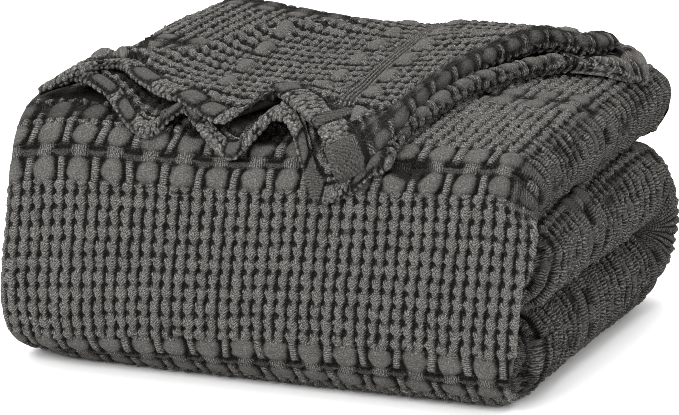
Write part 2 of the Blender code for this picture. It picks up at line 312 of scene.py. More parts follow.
# Distance along the strip's outer face, from the back end of the upper run over its top and down
# round the front, then under and round the back fold to the end of the middle run.
GUIDE_STEPS = 2400
NOSE_STEPS = 60
guide_along = np.linspace(UPPER_END, 0.0, GUIDE_STEPS)
guide_along = np.concatenate((guide_along, np.linspace(-0.02, -1.0, NOSE_STEPS)))
guide_y, guide_z, _, _ = strip_guides(guide_along)
guide_forward = np.cumsum(np.hypot(np.diff(guide_y), np.diff(guide_z)))
guide_forward = np.concatenate(([0.0], guide_forward))
STRIP_LONG = float(guide_forward[-1])
NOSE_FROM = float(guide_forward[-NOSE_STEPS - 1])


def along_at(forward):
    """The place along the strip at a distance forward over its outer face."""
    return np.interp(forward, guide_forward, guide_along)


def forward_at(along):
    """The distance forward over the strip's outer face at a place along it."""
    return np.interp(-np.asarray(along, float), -guide_along, guide_forward)


# ---------------------------------------------------------------- the weave
# Thick cotton yarns woven in three figures that repeat down the cloth: a row of smooth padded
# puffs with ribbed bars between them, a recess crossed by ribbed stems to a second such row, and a
# field of small waffle cells, whose knotted cords stand up round dark pits.
PUFF_PITCH = 0.0242
PUFF_HALF = (0.0087, 0.0099)
PUFF_RISE = 0.0037
PUFF_SQUARE = 2.35
PUFF_FIRM = 4.6
PUFF_EDGE = 0.14
BAND_EDGE = 0.0015
ROW_PERIOD = 0.1445
ROW_MARGIN = 0.0004
FIRST_ROW = 0.2751
SECOND_ROW = 0.0252
BAR_HALF = (0.0032, 0.0090)
BAR_RISE = 0.0038
BAR_FIRM = 4
YARN_EDGE = 0.0008
STEM_HALF = 0.0066
STEM_RISE = 0.0032
STEM_SWAY = 0.0008
STEM_SWAY_RATE = 500.0
RECESS_RISE = 0.0019
RECESS_FROM = PUFF_HALF[1] - 0.0006
RECESS_TO = SECOND_ROW - PUFF_HALF[1] + 0.0010
RECESS_OVER = 0.0012
RECESS_EDGE = 0.001
RECESS_TONE = 0.50
SLIT_HALF = 0.0012
SLIT_REACH = SLIT_HALF * 1.4
SLIT_AT = RECESS_FROM + SLIT_HALF * 1.3
SLIT_DEPTH = 0.0030
CELLS = 3
WAFFLE_ROWS = 10
FIELD_FROM = SECOND_ROW + PUFF_HALF[1] + ROW_MARGIN
FIELD = ROW_PERIOD - FIELD_FROM - PUFF_HALF[1] - ROW_MARGIN
FIELD_OVER = 0.0052
FIELD_EDGE = 0.0030
KNOT_HALF = 0.0035
KNOT_RUN = 1.3
KNOT_SHARE = (0.56, 0.62)
NECK_HALF = 0.0024
NECK_RISE = 0.88
CORD_RISE = 0.0042
CORD_SWAY = 0.00035
CORD_TURNS = 2.6
CORD_LEAN = 0.0005
LOOP_HALF = 0.0018
LOOP_AT = (-0.0029, -0.0026)
BRIDGE_HALF = 0.0026
BRIDGE_RISE = 0.0014
CROSSING = 0.20
CREASE_HALF = 0.0016
CREASE_DEPTH = 0.0030
CREASE_RUN = 0.35
CREASE_SHARE = 0.55
RIDGE_RISE = 0.0036
RIDGE_HALF = 0.0068
RIDGE_FULL = 0.85
SUNK = 0.0022
BEND_SUNK = 0.0006
TALLEST = 0.0044
BEND_TONE = (0.0007, 0.0010)
HALO_PAINTED_SHADE = 0.40
HALO_DEPTH = 0.0010
HALO_REACH = 1.30
HALO_EDGES = (0.10, 0.16)
MILLIMETRES = 1000.0

UNEVENNESS = {
    # what: how much, size of its hills, seed
    "rows": (0.0007, 0.011, 3),
    "bent rows": (0.0030, 0.034, 37),
    "bent rows, finer": (0.0012, 0.013, 43),
    "puff outlines": (0.10, 0.0042, 51),
    "puff tops": (0.00035, 0.006, 57),
    "cords": (0.0005, 1.0, 17),
    "knots": (0.09, 1.6, 29),
    "bridges": (0.4, 1.0, 23),
    "bent bridges": (0.6, 2.6, 27),
    "creases": (1.4, 1.3, 77),
    "crease lines": (0.0007, 0.005, 73),
    "tufts": (0.00090, 0.0030, 61),
    "tufts, finer": (0.00060, 0.0018, 67),
    "ridges": (0.30, 0.020, 71),
    "shoulder": (0.5, 0.016, 91),
    "back hems": (0.0012, 0.009, 41),
    "hem": (0.0010, 0.012, 31),
}
VARIETY = {
    # what: from least to most, seed
    "puff size": (0.12, 1),
    "puff place": (0.0010, 9),
    "bar lean": (0.0022, 7),
    "bar size": (0.25, 8),
    "knot size": (0.22, 19),
    "knob size": (0.5213, 83),
    "knob place": (0.0012, 89),
}
BENT = {
    # what a side fold does to the weave: the share that it adds to a size
    "puff rise": -0.75,
    "bar rise": -0.75,
    "cord rise": -0.84,
    "cord width": -0.25,
    "knots": -0.70,
    "bridge rise": 0.90,
    "bridge width": 0.55,
    "slit": 0.50,
}


def scattered(i, j, seed):
    """A fixed number from 0 to 1 for each pair of whole numbers."""
    mixed = np.sin(i * 127.1 + j * 311.7 + seed * 74.7) * 43758.5453
    return mixed - np.floor(mixed)


def varied(what, i, j):
    """How much one of a kind differs from the usual one."""
    amount, seed = VARIETY[what]
    return amount * (scattered(i, j, seed) - 0.5)


def uneven(what, a, b):
    """Soft random hills, as high and as wide as the table says."""
    amount, size, seed = UNEVENNESS[what]
    i, j = np.floor(a / size), np.floor(b / size)
    s, t = ease(a / size - i), ease(b / size - j)
    low = scattered(i, j, seed) * (1 - s) + scattered(i + 1, j, seed) * s
    high = scattered(i, j + 1, seed) * (1 - s) + scattered(i + 1, j + 1, seed) * s
    return amount * (2 * (low * (1 - t) + high * t) - 1)


def bent(what, bend):
    """How many times its usual size this is where the cloth is stretched round a side fold."""
    return 1 + BENT[what] * bend


def bulge(distance, half):
    """A round ridge: 1 along its middle and 0 past its half width."""
    return np.sqrt(np.clip(1 - (distance / half) ** 2, 0.0, 1.0))


def plump(distance, firmness):
    """A padded form, flatter on top the firmer it is: 1 in its middle and 0 from 1 outwards."""
    return np.clip(1 - distance**firmness, 0.0, 1.0) ** 0.5


def squared_off(across, down, square):
    """How far out a place is from the middle of a rounded square: 1 on its outline."""
    return (np.abs(across) ** square + np.abs(down) ** square) ** (1 / square)


def puffs(across, forward, row_down, row_number, bend, fill, tall):
    """The puffs: height, mask, how far out each place is, and the distance to the right of one."""
    metres = across * PUFF_PITCH
    number = np.round(across)
    size = 1 + varied("puff size", number, row_number)
    side = (across - number) * PUFF_PITCH + varied("puff place", number, row_number)
    wide, long = PUFF_HALF[0] * size * fill, PUFF_HALF[1] * size
    reach = squared_off(side / wide, row_down / long, PUFF_SQUARE)
    reach = np.clip(reach + uneven("puff outlines", metres, forward), 0.0, None)
    puff = PUFF_RISE * tall * plump(reach, PUFF_FIRM)
    puff = puff * bent("puff rise", bend) + uneven("puff tops", metres, forward) * (puff > 0)
    band = ease((RIDGE_HALF - np.abs(row_down)) / BAND_EDGE)
    mask = ease((1.0 - reach) / PUFF_EDGE) * (1 - bend) + band * bend
    return puff, mask, reach, side


def bars(across, row_down, row_number, bend):
    """The ribbed bars between the puffs: height and mask."""
    number = np.floor(across) + 0.5
    lean = varied("bar lean", number, row_number)
    side = (across - number) * PUFF_PITCH + lean * row_down / BAR_HALF[1]
    end = plump(np.abs(row_down) / BAR_HALF[1], BAR_FIRM)
    size = BAR_HALF[0] * (1 + varied("bar size", number, row_number))
    height = BAR_RISE * bulge(side, size) ** 0.8 * end * bent("bar rise", bend)
    return height, ease((size * 1.05 - np.abs(side)) / YARN_EDGE) * (end > 0.05)


def recess(down, side, number, bar_mask, bend):
    """The recess between the two rows: where it is, its stems and their mask, and its slit."""
    inside = rising(down, RECESS_FROM - RECESS_OVER, RECESS_EDGE)
    inside = inside * falling(down, RECESS_TO + RECESS_OVER, RECESS_EDGE)
    stem_side = side + STEM_SWAY * np.sin(down * STEM_SWAY_RATE + number * 2)
    stem = STEM_RISE * bulge(stem_side, STEM_HALF) ** 0.7 * inside
    stem_mask = ease((STEM_HALF - np.abs(stem_side)) / YARN_EDGE) * inside
    slit = SLIT_DEPTH * bulge(down - SLIT_AT, SLIT_REACH)
    return inside, stem, stem_mask, slit * (1 - stem_mask) * (1 - bar_mask * (1 - bend))


def waffle(across, forward, down, period, bend):
    """The waffle field: where it is, its height, the creases in it, and the distance from a cord.

    Its knotted cords run down the cloth, with lower bridges between the knots and pits between
    those. Round a side fold, long creases open here and there between the bridges.
    """
    metres = across * PUFF_PITCH
    line_down = np.where(down < 0, down + ROW_PERIOD, down)
    line = (line_down - FIELD_FROM) / FIELD * WAFFLE_ROWS
    from_puffs = np.minimum(line_down - FIELD_FROM, FIELD_FROM + FIELD - line_down)
    inside = rising(from_puffs, -FIELD_OVER, FIELD_EDGE)

    cell = across * CELLS
    number = np.floor(cell) + 0.5
    turn = CORD_TURNS * scattered(number, period, 11)
    sway = CORD_SWAY * np.sin(math.pi * line + turn) + uneven("cords", cell, line)
    knot_line = line + uneven("knots", cell * KNOT_RUN, line)
    knot = ease(KNOT_SHARE[0] + KNOT_SHARE[1] * np.cos(2 * math.pi * knot_line))
    side = (cell - number) * PUFF_PITCH / CELLS + sway + CORD_LEAN * knot
    half = NECK_HALF + (KNOT_HALF - NECK_HALF) * knot * bent("knots", bend)
    half = half * (1 + varied("knot size", number, np.round(knot_line)))
    cord = CORD_RISE * bulge(side, half * bent("cord width", bend)) ** 0.55
    cord = cord * (NECK_RISE + (1 - NECK_RISE) * knot)

    bridge_down = (line - np.round(line)) * FIELD / WAFFLE_ROWS
    loop = bulge(np.hypot(side - LOOP_AT[0], bridge_down - LOOP_AT[1]), LOOP_HALF) ** 0.6
    cord = np.maximum(cord, CORD_RISE * loop * (1 - bend)) * bent("cord rise", bend)
    bridge = 1 + uneven("bridges", cell, line) + bend * uneven("bent bridges", cell, line)
    bridge = BRIDGE_RISE * bridge * bulge(bridge_down, BRIDGE_HALF * bent("bridge width", bend))
    bridge = bridge * bent("bridge rise", bend)
    height = (np.maximum(cord, bridge) + CROSSING * np.minimum(cord, bridge)) * inside
    tufts = uneven("tufts", metres, forward) + uneven("tufts, finer", metres, forward)

    apart = FIELD / WAFFLE_ROWS / 2 - np.abs(bridge_down) + uneven("crease lines", metres, forward)
    open_here = ease(CREASE_SHARE + uneven("creases", cell * CREASE_RUN, line))
    crease = CREASE_DEPTH * bulge(apart, CREASE_HALF) * open_here * bend * inside
    return inside, height + tufts * inside, crease, side


def weave(across, forward, bend=0.0, fill=1.0, tall=1.0):
    """Height of the weave in metres over the cloth, and its masks.

    across counts puffs along a row. forward is the distance down the cloth, in metres. bend is 1
    where the cloth is stretched round a side fold, which opens its cords and leaves its rows.
    fill and tall scale the width and height of the puffs.
    """
    metres = across * PUFF_PITCH
    wobble = uneven("bent rows", metres, forward) + uneven("bent rows, finer", metres, forward)
    forward = forward + uneven("rows", metres, forward) + bend * wobble
    down = np.mod(forward - FIRST_ROW + ROW_PERIOD / 2, ROW_PERIOD) - ROW_PERIOD / 2
    down = np.where(down < -PUFF_HALF[1] - ROW_MARGIN, down + ROW_PERIOD, down)
    period = np.round((forward - FIRST_ROW - down) / ROW_PERIOD)
    second = down > SECOND_ROW / 2
    row_down = np.where(second, down - SECOND_ROW, down)
    row_number = period * 2 + second

    puff, puff_mask, reach, side = puffs(across, forward, row_down, row_number, bend, fill, tall)
    bar, bar_mask = bars(across, row_down, row_number, bend)
    in_recess, stem, stem_mask, slit = recess(down, side, np.round(across), bar_mask, bend)
    in_field, field, crease, cord_side = waffle(across, forward, down, period, bend)
    ground = RECESS_RISE * in_recess * (1 - bend)

    # Round a side fold the puff rows stand up as fat ridges with deep slits beside them.
    fullness = RIDGE_FULL + uneven("ridges", metres, forward)
    ridge = RIDGE_RISE * bulge(row_down, RIDGE_HALF) ** 0.8 * bend * fullness
    height = np.maximum.reduce([puff, bar, stem, field, ridge, ground])
    height = height - slit * bent("slit", bend) - crease

    # What the cotton reads: how high each yarn lies, whose low yarns get painted shade, and which figure
    # it belongs to.
    tone = (height + BEND_TONE[0] * bend) / (TALLEST - BEND_TONE[1] * bend)
    bare = ease(1 - slit / SLIT_HALF) * (puff < 1e-4) * (bar < 1e-4)
    tone = np.maximum(tone, RECESS_TONE * in_recess * (1 - bend) * bare)
    # A ring of painted shade in the groove round each puff, over a shallow real dip.
    halo = rising(reach, 1.0, HALO_EDGES[0]) * falling(reach, HALO_REACH, HALO_EDGES[1])
    halo = halo * (1 - bar_mask) * (1 - stem_mask) * (1 - bend)
    masks = {
        "height": tone - HALO_PAINTED_SHADE * halo,
        "puff": puff_mask,
        "bar": bar_mask * (1 - bend),
        "stem": stem_mask * (1 - bend),
        "bend": bend + 0 * height,
        "twist": np.abs(cord_side) * MILLIMETRES * in_field,
    }
    return height - HALO_DEPTH * halo - SUNK + (SUNK - BEND_SUNK) * bend, masks


# ---------------------------------------------------------------- the cotton
# Charcoal cotton yarn, stonewashed after weaving: matt and slightly fuzzy, paler where it rubs on
# the high cords and puffs, and painted darker down in the pits as shade. The puffs are a fine plain weave.
YARN_DARK_PIT_SHADE = (0.0044, 0.0040, 0.0035)
YARN_MID = (0.070, 0.067, 0.061)
YARN_PALE = (0.270, 0.262, 0.246)
RIB_RATE = 4.0
RIB_WANDER = 3.0
CROSS_RATE = 3.0
CROSS_WANDER = 4.0
CROSS_DEEP = 1.15
BRAID_RATE = 3.3
BRAID_TWIST = 1.1
BRAID_DEEP = 0.9
FLATTER = {"puff": 0.40, "bend": 0.60}
RELIEF = {"ribs": 0.40, "fuzz": 3.2, "lumps": 1.1}
RELIEF_METRES = 0.001
HIGH = (0.16, 0.86)
PALER = {
    # how much paler each of these makes the yarn
    "high": 0.90,
    "fuzz": 2.7,
    "ribs": 0.34,
    "fibre_glints": 0.70,
    "washed": 0.20,
    "lumps": 0.35,
    "puff": -0.10,
    "high, bent": -0.28,
}
MID_SHADE = (0.10, 0.80)
PALE_SHADE = (0.80, 1.45)
HILLS = {
    # what: hills per millimetre, detail, roughness
    "fuzz": (0.95, 3.0, 0.62),
    "lumps": (0.36, 2.0, 0.5),
    "patches": (0.10, 1.0, 0.5),
    "fibre_glints": (0.80, 1.0, 0.5),
    "washed": (0.045, 2.0, 0.5),
}


class Value:
    """A shader socket that can be used in sums."""

    def __init__(self, tree, socket):
        self.tree = tree
        self.socket = socket

    def node(self, kind, settings=None, output=0, **inputs):
        """The output of a new node: its settings are set first, then its sockets."""
        made = self.tree.nodes.new(kind)
        for name, setting in (settings or {}).items():
            setattr(made, name, setting)
        for key, value in inputs.items():
            numbered = key[0] == "i" and key[1:].isdigit()
            target = made.inputs[int(key[1:]) if numbered else key.replace("_", " ")]
            if isinstance(value, Value):
                self.tree.links.new(value.socket, target)
            else:
                target.default_value = value
        return Value(self.tree, made.outputs[output])

    def math(self, operation, first, second=0.0):
        return self.node("ShaderNodeMath", {"operation": operation}, i0=first, i1=second)

    def __add__(self, other):
        return self.math("ADD", self, other)

    def __sub__(self, other):
        return self.math("SUBTRACT", self, other)

    def __rsub__(self, other):
        return self.math("SUBTRACT", other, self)

    def __mul__(self, other):
        return self.math("MULTIPLY", self, other)

    def sine(self):
        return self.math("SINE", self)

    def clamped(self):
        return self.node("ShaderNodeClamp", i0=self, i1=0.0, i2=1.0)

    def ramp(self, low, high, kind="SMOOTHSTEP"):
        """0 below low, 1 above high, and smooth between."""
        kind = {"interpolation_type": kind}
        return self.node("ShaderNodeMapRange", kind, i0=self, i1=low, i2=high, i3=0.0, i4=1.0)

    def colour(self, first, second):
        """The mix of two colours by this value."""
        return self.node("ShaderNodeMix", {"data_type": "RGBA"}, output=2, i0=self, i6=first, i7=second)


def washed_cotton():
    """The blanket's cotton. It reads the cloth's own coordinates and the weave's masks."""
    material = bpy.data.materials.new("stonewashed_cotton")
    material.use_nodes = True
    tree = material.node_tree
    surface = tree.nodes["Principled BSDF"]
    start = Value(tree, None)
    cloth = start.node("ShaderNodeUVMap", {"uv_map": "cloth"})
    across = start.node("ShaderNodeSeparateXYZ", i0=cloth) * MILLIMETRES
    down = start.node("ShaderNodeSeparateXYZ", output=1, i0=cloth) * MILLIMETRES
    spot = start.node("ShaderNodeVectorMath", {"operation": "SCALE"}, i0=cloth, Scale=MILLIMETRES)

    def mask(name):
        return start.node("ShaderNodeAttribute", {"attribute_name": name}, output=2)

    def hills(what):
        scale, detail, rough = HILLS[what]
        return start.node("ShaderNodeTexNoise", Vector=spot, Scale=scale, Detail=detail, Roughness=rough)

    height, puff, bar, stem, bend, twist = (mask(name) for name in MASKS)
    ribbed = (bar + stem).clamped()

    # Fine yarns: a plain weave on the puffs, ribs round the bars, and loose twisted cords.
    fuzz = hills("fuzz") - 0.5
    lumps = hills("lumps") - 0.5
    bar_ribs = ((down + lumps * RIB_WANDER) * RIB_RATE).sine()
    stem_ribs = ((across + lumps * RIB_WANDER) * RIB_RATE).sine()
    patchy = hills("patches").ramp(0.25, 0.50)
    cross_ribs = ((across + lumps * CROSS_WANDER) * CROSS_RATE).sine() * bend * patchy
    braid = ((down + twist * BRAID_TWIST + lumps * RIB_WANDER) * BRAID_RATE).sine() * twist.ramp(0.05, 0.9)
    ribs = (bar_ribs * (1.0 - stem) + stem_ribs * stem) * ribbed * (1.0 - bend)
    ribs = ribs + cross_ribs * CROSS_DEEP + braid * (1.0 - ribbed) * (1.0 - bend) * BRAID_DEEP
    fuzz = fuzz * (1.0 - puff * FLATTER["puff"]) * (1.0 - bend * FLATTER["bend"])
    relief = ribs * RELIEF["ribs"] + fuzz * RELIEF["fuzz"] + lumps * RELIEF["lumps"]
    bump = start.node("ShaderNodeBump", i0=1.0, i1=RELIEF_METRES, Height=relief)

    # Worn high spots, painted shade in the pits, painted glints on the high yarns, and the washed-out
    # patches between.
    high = height.ramp(*HIGH)
    # Pale specks on the high yarns: partly pale fibre tips, partly painted glints.
    fibre_glints = hills("fibre_glints").ramp(0.66, 0.76) * high * (1.0 - puff)
    shade = high * (bend * PALER["high, bent"] + PALER["high"])
    shade = shade + fuzz * PALER["fuzz"] + ribs * PALER["ribs"] + fibre_glints * PALER["fibre_glints"]
    shade = shade + (hills("washed") - 0.5) * PALER["washed"]
    shade = shade + lumps * PALER["lumps"] + puff * PALER["puff"]
    # From the darkest yarn, which stands for painted shade in the pits, up to the mid and pale yarn.
    dark_to_mid = shade.ramp(*MID_SHADE, "LINEAR").colour((*YARN_DARK_PIT_SHADE, 1.0), (*YARN_MID, 1.0))
    colour = shade.ramp(*PALE_SHADE, "LINEAR").colour(dark_to_mid, (*YARN_PALE, 1.0))
    tree.links.new(colour.socket, surface.inputs["Base Color"])
    tree.links.new(bump.socket, surface.inputs["Normal"])
    surface.inputs["Roughness"].default_value = 0.95
    surface.inputs["Specular IOR Level"].default_value = 0.04
    surface.inputs["Sheen Weight"].default_value = 0.06
    surface.inputs["Sheen Roughness"].default_value = 0.55
    surface.inputs["Sheen Tint"].default_value = (0.62, 0.60, 0.57, 1.0)
    return material


LOWEST = 0.0002
MASKS = ("height", "puff", "bar", "stem", "bend", "twist")
cotton = washed_cotton()


def raised(spots, height):
    """The points of a grid moved out from the cloth by a height."""
    out = np.cross(np.gradient(spots, axis=1), np.gradient(spots, axis=0))
    out /= np.linalg.norm(out, axis=2, keepdims=True) + 1e-12
    return spots + out * np.asarray(height)[..., None]


def cloth_sheet(name, spots, coordinates, masks, flat):
    """A sheet of cloth: a flat grid whose points are moved to rows of spots on the folded cloth."""
    rows, columns = spots.shape[:2]
    spots = np.ascontiguousarray(spots)
    spots[..., 2] = np.maximum(spots[..., 2], LOWEST)
    bpy.ops.object.select_all(action="DESELECT")
    bpy.ops.mesh.primitive_grid_add(x_subdivisions=columns - 1, y_subdivisions=rows - 1, size=1)
    sheet = bpy.context.object
    sheet.name = name
    mesh = sheet.data
    mesh.name = name
    mesh.vertices.foreach_set("co", spots.reshape(-1))
    for layer in list(mesh.uv_layers):
        mesh.uv_layers.remove(layer)
    cloth = mesh.uv_layers.new(name="cloth")
    corner = np.empty(len(mesh.loops), np.int32)
    mesh.loops.foreach_get("vertex_index", corner)
    cloth.data.foreach_set("uv", coordinates.reshape(-1, 2)[corner].reshape(-1))
    for key in MASKS:
        values = np.broadcast_to(masks.get(key, 0.0), (rows, columns)).astype(np.float32)
        mesh.attributes.new(key, "FLOAT", "POINT").data.foreach_set("value", values.reshape(-1))
    mesh.shade_smooth()
    mesh.materials.clear()
    mesh.materials.append(cotton)
    mesh.update()
    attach(sheet, "root")
    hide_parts("blanket")
    return sheet


# ---------------------------------------------------------------- the outer layer of the strip
# One thickness of cloth that shows on the front, the top and underneath. At the left it turns in
# under itself, and at the right it goes on round the side folds. Its weave rows run across.
FIRST_PUFF_X = -0.1636
COLUMN_LEAN = 0.20
COLUMN_LEAN_FROM = 0.302
COLUMN_LEAN_OVER = 0.06
ROW_LEAN = (
    # forward, lean of the rows across the front, bow
    (0.0, 0.055, 0.0),
    (0.240, 0.065, 0.02),
    (0.280, 0.070, 0.08),
    (0.305, 0.068, 0.08),
    (0.420, 0.034, 0.33),
    (0.500, 0.030, 0.30),
    (1.100, 0.000, 0.0),
)
BOW_X = 0.060
FINE = 0.00103
LEFT_TURN = LAYER_PITCH - LAYER_GAP / 2
TUCKED = 0.030
LEFT_CALM = 0.65
NOSE_DRAWN_IN = 0.010
EDGE_RADIUS = 0.0024
EDGE_SAG = 0.0020
EDGE_UNDER_SLOPE = 0.35
EDGE_FROM = (0.298, 0.020)
EDGE_TO = (0.450, 0.040)
FLAT_WIDTH = 0.34
BEND_FROM = (0.006, 0.03)
ROOMY = (0.10, 0.60)
LEAST_ROOM = 0.08
EDGE_LINE = (
    # forward, x of the thin right edge of the front
    (0.290, 0.179),
    (0.326, 0.178),
    (0.347, 0.1755),
    (0.368, 0.173),
    (0.397, 0.171),
    (0.435, 0.166),
    (0.490, 0.155),
)

# At the left shoulder, under the frills of the loose corner, where shade is painted into the tone.
SHOULDER_X = (-0.104, 0.012)
SHOULDER_EDGE = (-0.166, 0.008)
SHOULDER_FROM = (0.205, 0.010)
SHOULDER_TO = (FIRST_ROW - PUFF_HALF[1], 0.0015)
SHOULDER_DIP = 0.0035
SHOULDER_RISE = (0.0010, 0.0012)
SHOULDER_SHADE_AND_TONE = (0.04, 0.40, 0.30)
THIRD_ROW = 0.0178
THIRD_ROW_FROM = (FIRST_ROW - THIRD_ROW - PUFF_HALF[1], 0.003)
THIRD_ROW_BARS = (FIRST_ROW - PUFF_HALF[1] - 0.007, 0.001)
THIRD_ROW_SUNK = 0.002
THIRD_ROW_PAINTED_SHADE = (0.6, 0.24)
HOLLOW_PAINTED_SHADE = 0.8
HOLLOW_EDGE = 1.4
HOLLOW_DIP = 0.0035
HOLLOWS = (
    # x, distance down the cloth, half length, half width
    (-0.090, 0.256, 0.020, 0.012),
    (-0.060, 0.262, 0.014, 0.012),
    (-0.010, 0.264, 0.020, 0.014),
    (0.026, 0.276, 0.016, 0.014),
    (0.090, 0.290, 0.020, 0.012),
)

# Towards the right the runs bulge up, so that the creases between them lie higher than further in.
FILLED_X = (0.125, 0.045)
FILLED_Y = (-0.150, 0.020)
FILLED_RISE = (
    # height, rise there
    (0.0, 0.0),
    (0.057, 0.006),
    (0.116, 0.009),
    (0.177, 0.0),
    (0.30, 0.0),
)
FILLED_OUT = 0.005
FILLED_OUT_Y = (0.02, 0.10)
FILLED_LOW = (0.135, 0.020)
TOP_DRAWN_IN = 0.002
FRONT_LIFTED = 0.0055
FRONT_LIFTED_Y = (-0.118, 0.035)
FRONT_LIFTED_TO = 0.035


def cloth_at(x, forward):
    """Cloth coordinates of the outer layer: puffs across, and metres down, where its rows lie."""
    lean = from_table(ROW_LEAN, 1, forward)
    bow = from_table(ROW_LEAN, 2, forward)
    down = forward + lean * x - bow * ((x - BOW_X) ** 2 - BOW_X**2)
    column_shift = COLUMN_LEAN * np.clip(COLUMN_LEAN_FROM - forward, 0.0, COLUMN_LEAN_OVER)
    return (x - FIRST_PUFF_X - column_shift) / PUFF_PITCH, down


def filled_out(spots):
    """The points with the bulging of the runs at the right side."""
    x, y, z = spots[..., 0], spots[..., 1], spots[..., 2]
    share = rising(x, *FILLED_X) * rising(y, *FILLED_Y)
    low = falling(z, *FILLED_LOW)
    out = FILLED_OUT * rising(y, *FILLED_OUT_Y) * low - TOP_DRAWN_IN * (1 - low)
    rise = np.interp(z, *np.array(FILLED_RISE).T) * share
    foot = np.clip(1 - z / FRONT_LIFTED_TO, 0.0, 1.0) ** 2
    rise = rise + FRONT_LIFTED * falling(y, *FRONT_LIFTED_Y) * foot
    return np.stack((x + out * share, y, z + rise), axis=-1)


def outer_section(along, past_left, share, past_right, flat_end=0.0, sunk=0.0):
    """Points of the outer face: from the tucked-in left, over the flat, to part way round the right.

    past_left is the distance beyond the flat round the left turn, and past_right round the right.
    flat_end is 1 where the right end stays flat to a thin edge. sunk draws the right in, in metres.
    """
    left, right = fold_ends(along)
    turn = np.clip(past_left / LEFT_TURN, 0.0, math.pi)
    tucked = np.clip(past_left - math.pi * LEFT_TURN, 0.0, None)
    x = left + (right - left) * share - LEFT_TURN * np.sin(turn) + tucked
    depth = LEFT_TURN * (1 - np.cos(turn))

    _, outer_z, _, inner_z = strip_guides(along)
    close = np.where(along < 0, (outer_z - inner_z) / STRIP_THICK, 1.0)
    turn = past_right / (STRIP_THICK / 2)
    tucked = np.clip(past_right - math.pi * STRIP_THICK / 2, 0.0, None)
    turn = np.clip(turn, 0.0, math.pi)
    radius = STRIP_THICK / 2 * close - sunk
    round_x = radius * np.sin(turn) - tucked - NOSE_DRAWN_IN * (1 - close)
    round_depth = STRIP_THICK / 2 * (1 - np.cos(turn)) + sunk * np.cos(turn)

    reach = from_table(EDGE_LINE, 1, forward_at(along)) - right - EDGE_RADIUS
    turn = np.clip((past_right - reach) / EDGE_RADIUS, 0.0, math.pi)
    under = np.clip(past_right - reach - math.pi * EDGE_RADIUS, 0.0, None)
    edge_x = np.minimum(past_right, reach) + EDGE_RADIUS * np.sin(turn) - under
    edge_depth = EDGE_RADIUS * (1 - np.cos(turn)) + EDGE_SAG * ease(past_right / reach)
    edge_depth = edge_depth + EDGE_UNDER_SLOPE * under

    at_right = past_right > 0
    x = x + np.where(at_right, round_x * (1 - flat_end) + edge_x * flat_end, 0.0)
    depth = depth + np.where(at_right, round_depth * (1 - flat_end) + edge_depth * flat_end, sunk)
    return filled_out(place(along, x, depth / STRIP_THICK))


def spaced(low, high, step):
    """Even places from low to high, about a step apart."""
    return np.linspace(low, high, max(int(round((high - low) / step)), 1) + 1)


def outer_columns(step_left, step_flat, step_right, right_to):
    """The columns of an outer sheet: past_left, share and past_right of each."""
    past_left = spaced(0.0, math.pi * LEFT_TURN + TUCKED, step_left)[::-1][:-1]
    share = spaced(0.0, 1.0, step_flat / FLAT_WIDTH)
    past_right = spaced(0.0, right_to, step_right)[1:] if right_to > 0 else np.zeros(0)
    columns = [(p, 0.0, 0.0) for p in past_left]
    columns += [(0.0, s, 0.0) for s in share]
    columns += [(0.0, 1.0, p) for p in past_right]
    return np.array(columns).T


def roominess(spots, forward):
    """1 where the rows have their full spacing, and less where they are crowded inside a fold."""
    step = np.linalg.norm(np.gradient(spots, axis=0), axis=2)
    step = step / np.abs(np.gradient(forward))[:, None]
    return ease(np.clip((step - ROOMY[0]) / ROOMY[1], LEAST_ROOM, 1.0))


def blended(share, first, second):
    """Two weaves, each a height and its masks, mixed by this share of the second."""
    masks = {key: first[1][key] * (1 - share) + second[1][key] * share for key in MASKS}
    return first[0] * (1 - share) + second[0] * share, masks


def shouldered(across, x, down, height, masks):
    """The left shoulder: a third row of puffs painted darker as shade, and smooth cloth behind it that
    dips under the frills, painted dim there as shade.
    """
    share = falling(x, *SHOULDER_X) * falling(down, *SHOULDER_TO) * rising(down, *SHOULDER_FROM)
    third, other = weave(across, down + THIRD_ROW)
    between = other["bar"] * rising(down, *THIRD_ROW_BARS)
    gap = other["bar"] - between
    third = third * (1 - gap) - THIRD_ROW_SUNK * gap
    # The third row and the gaps between its bars are painted darker as shade.
    other["height"] = other["height"] - THIRD_ROW_PAINTED_SHADE[0] * gap - THIRD_ROW_PAINTED_SHADE[1]
    smooth = falling(down, *THIRD_ROW_FROM)
    outer = falling(x, *SHOULDER_EDGE)
    patch = 0.5 + uneven("shoulder", x, down)
    flat = SHOULDER_RISE[0] + SHOULDER_RISE[1] * patch * outer - SHOULDER_DIP * (1 - outer)
    # Dim painted shade under the frills, with a paler patchy tone towards the outer edge.
    shade_under_frills, pale, patchy = SHOULDER_SHADE_AND_TONE
    plain = dict.fromkeys(MASKS, 0.0) | {"height": shade_under_frills + (pale + patchy * patch) * outer, "puff": 1.0}
    behind = blended(smooth, (third, other), (flat, plain))
    height, masks = blended(share, (height, masks), behind)
    for middle_x, middle_down, long, wide in HOLLOWS:
        reach = np.hypot((x - middle_x) / long, (down - middle_down) / wide)
        dip = ease(HOLLOW_EDGE * (1 - reach))
        height = height - HOLLOW_DIP * dip
        # Painted shade in the hollows under the frills, over a real dip.
        masks["height"] = masks["height"] - HOLLOW_PAINTED_SHADE * dip
    return height, masks


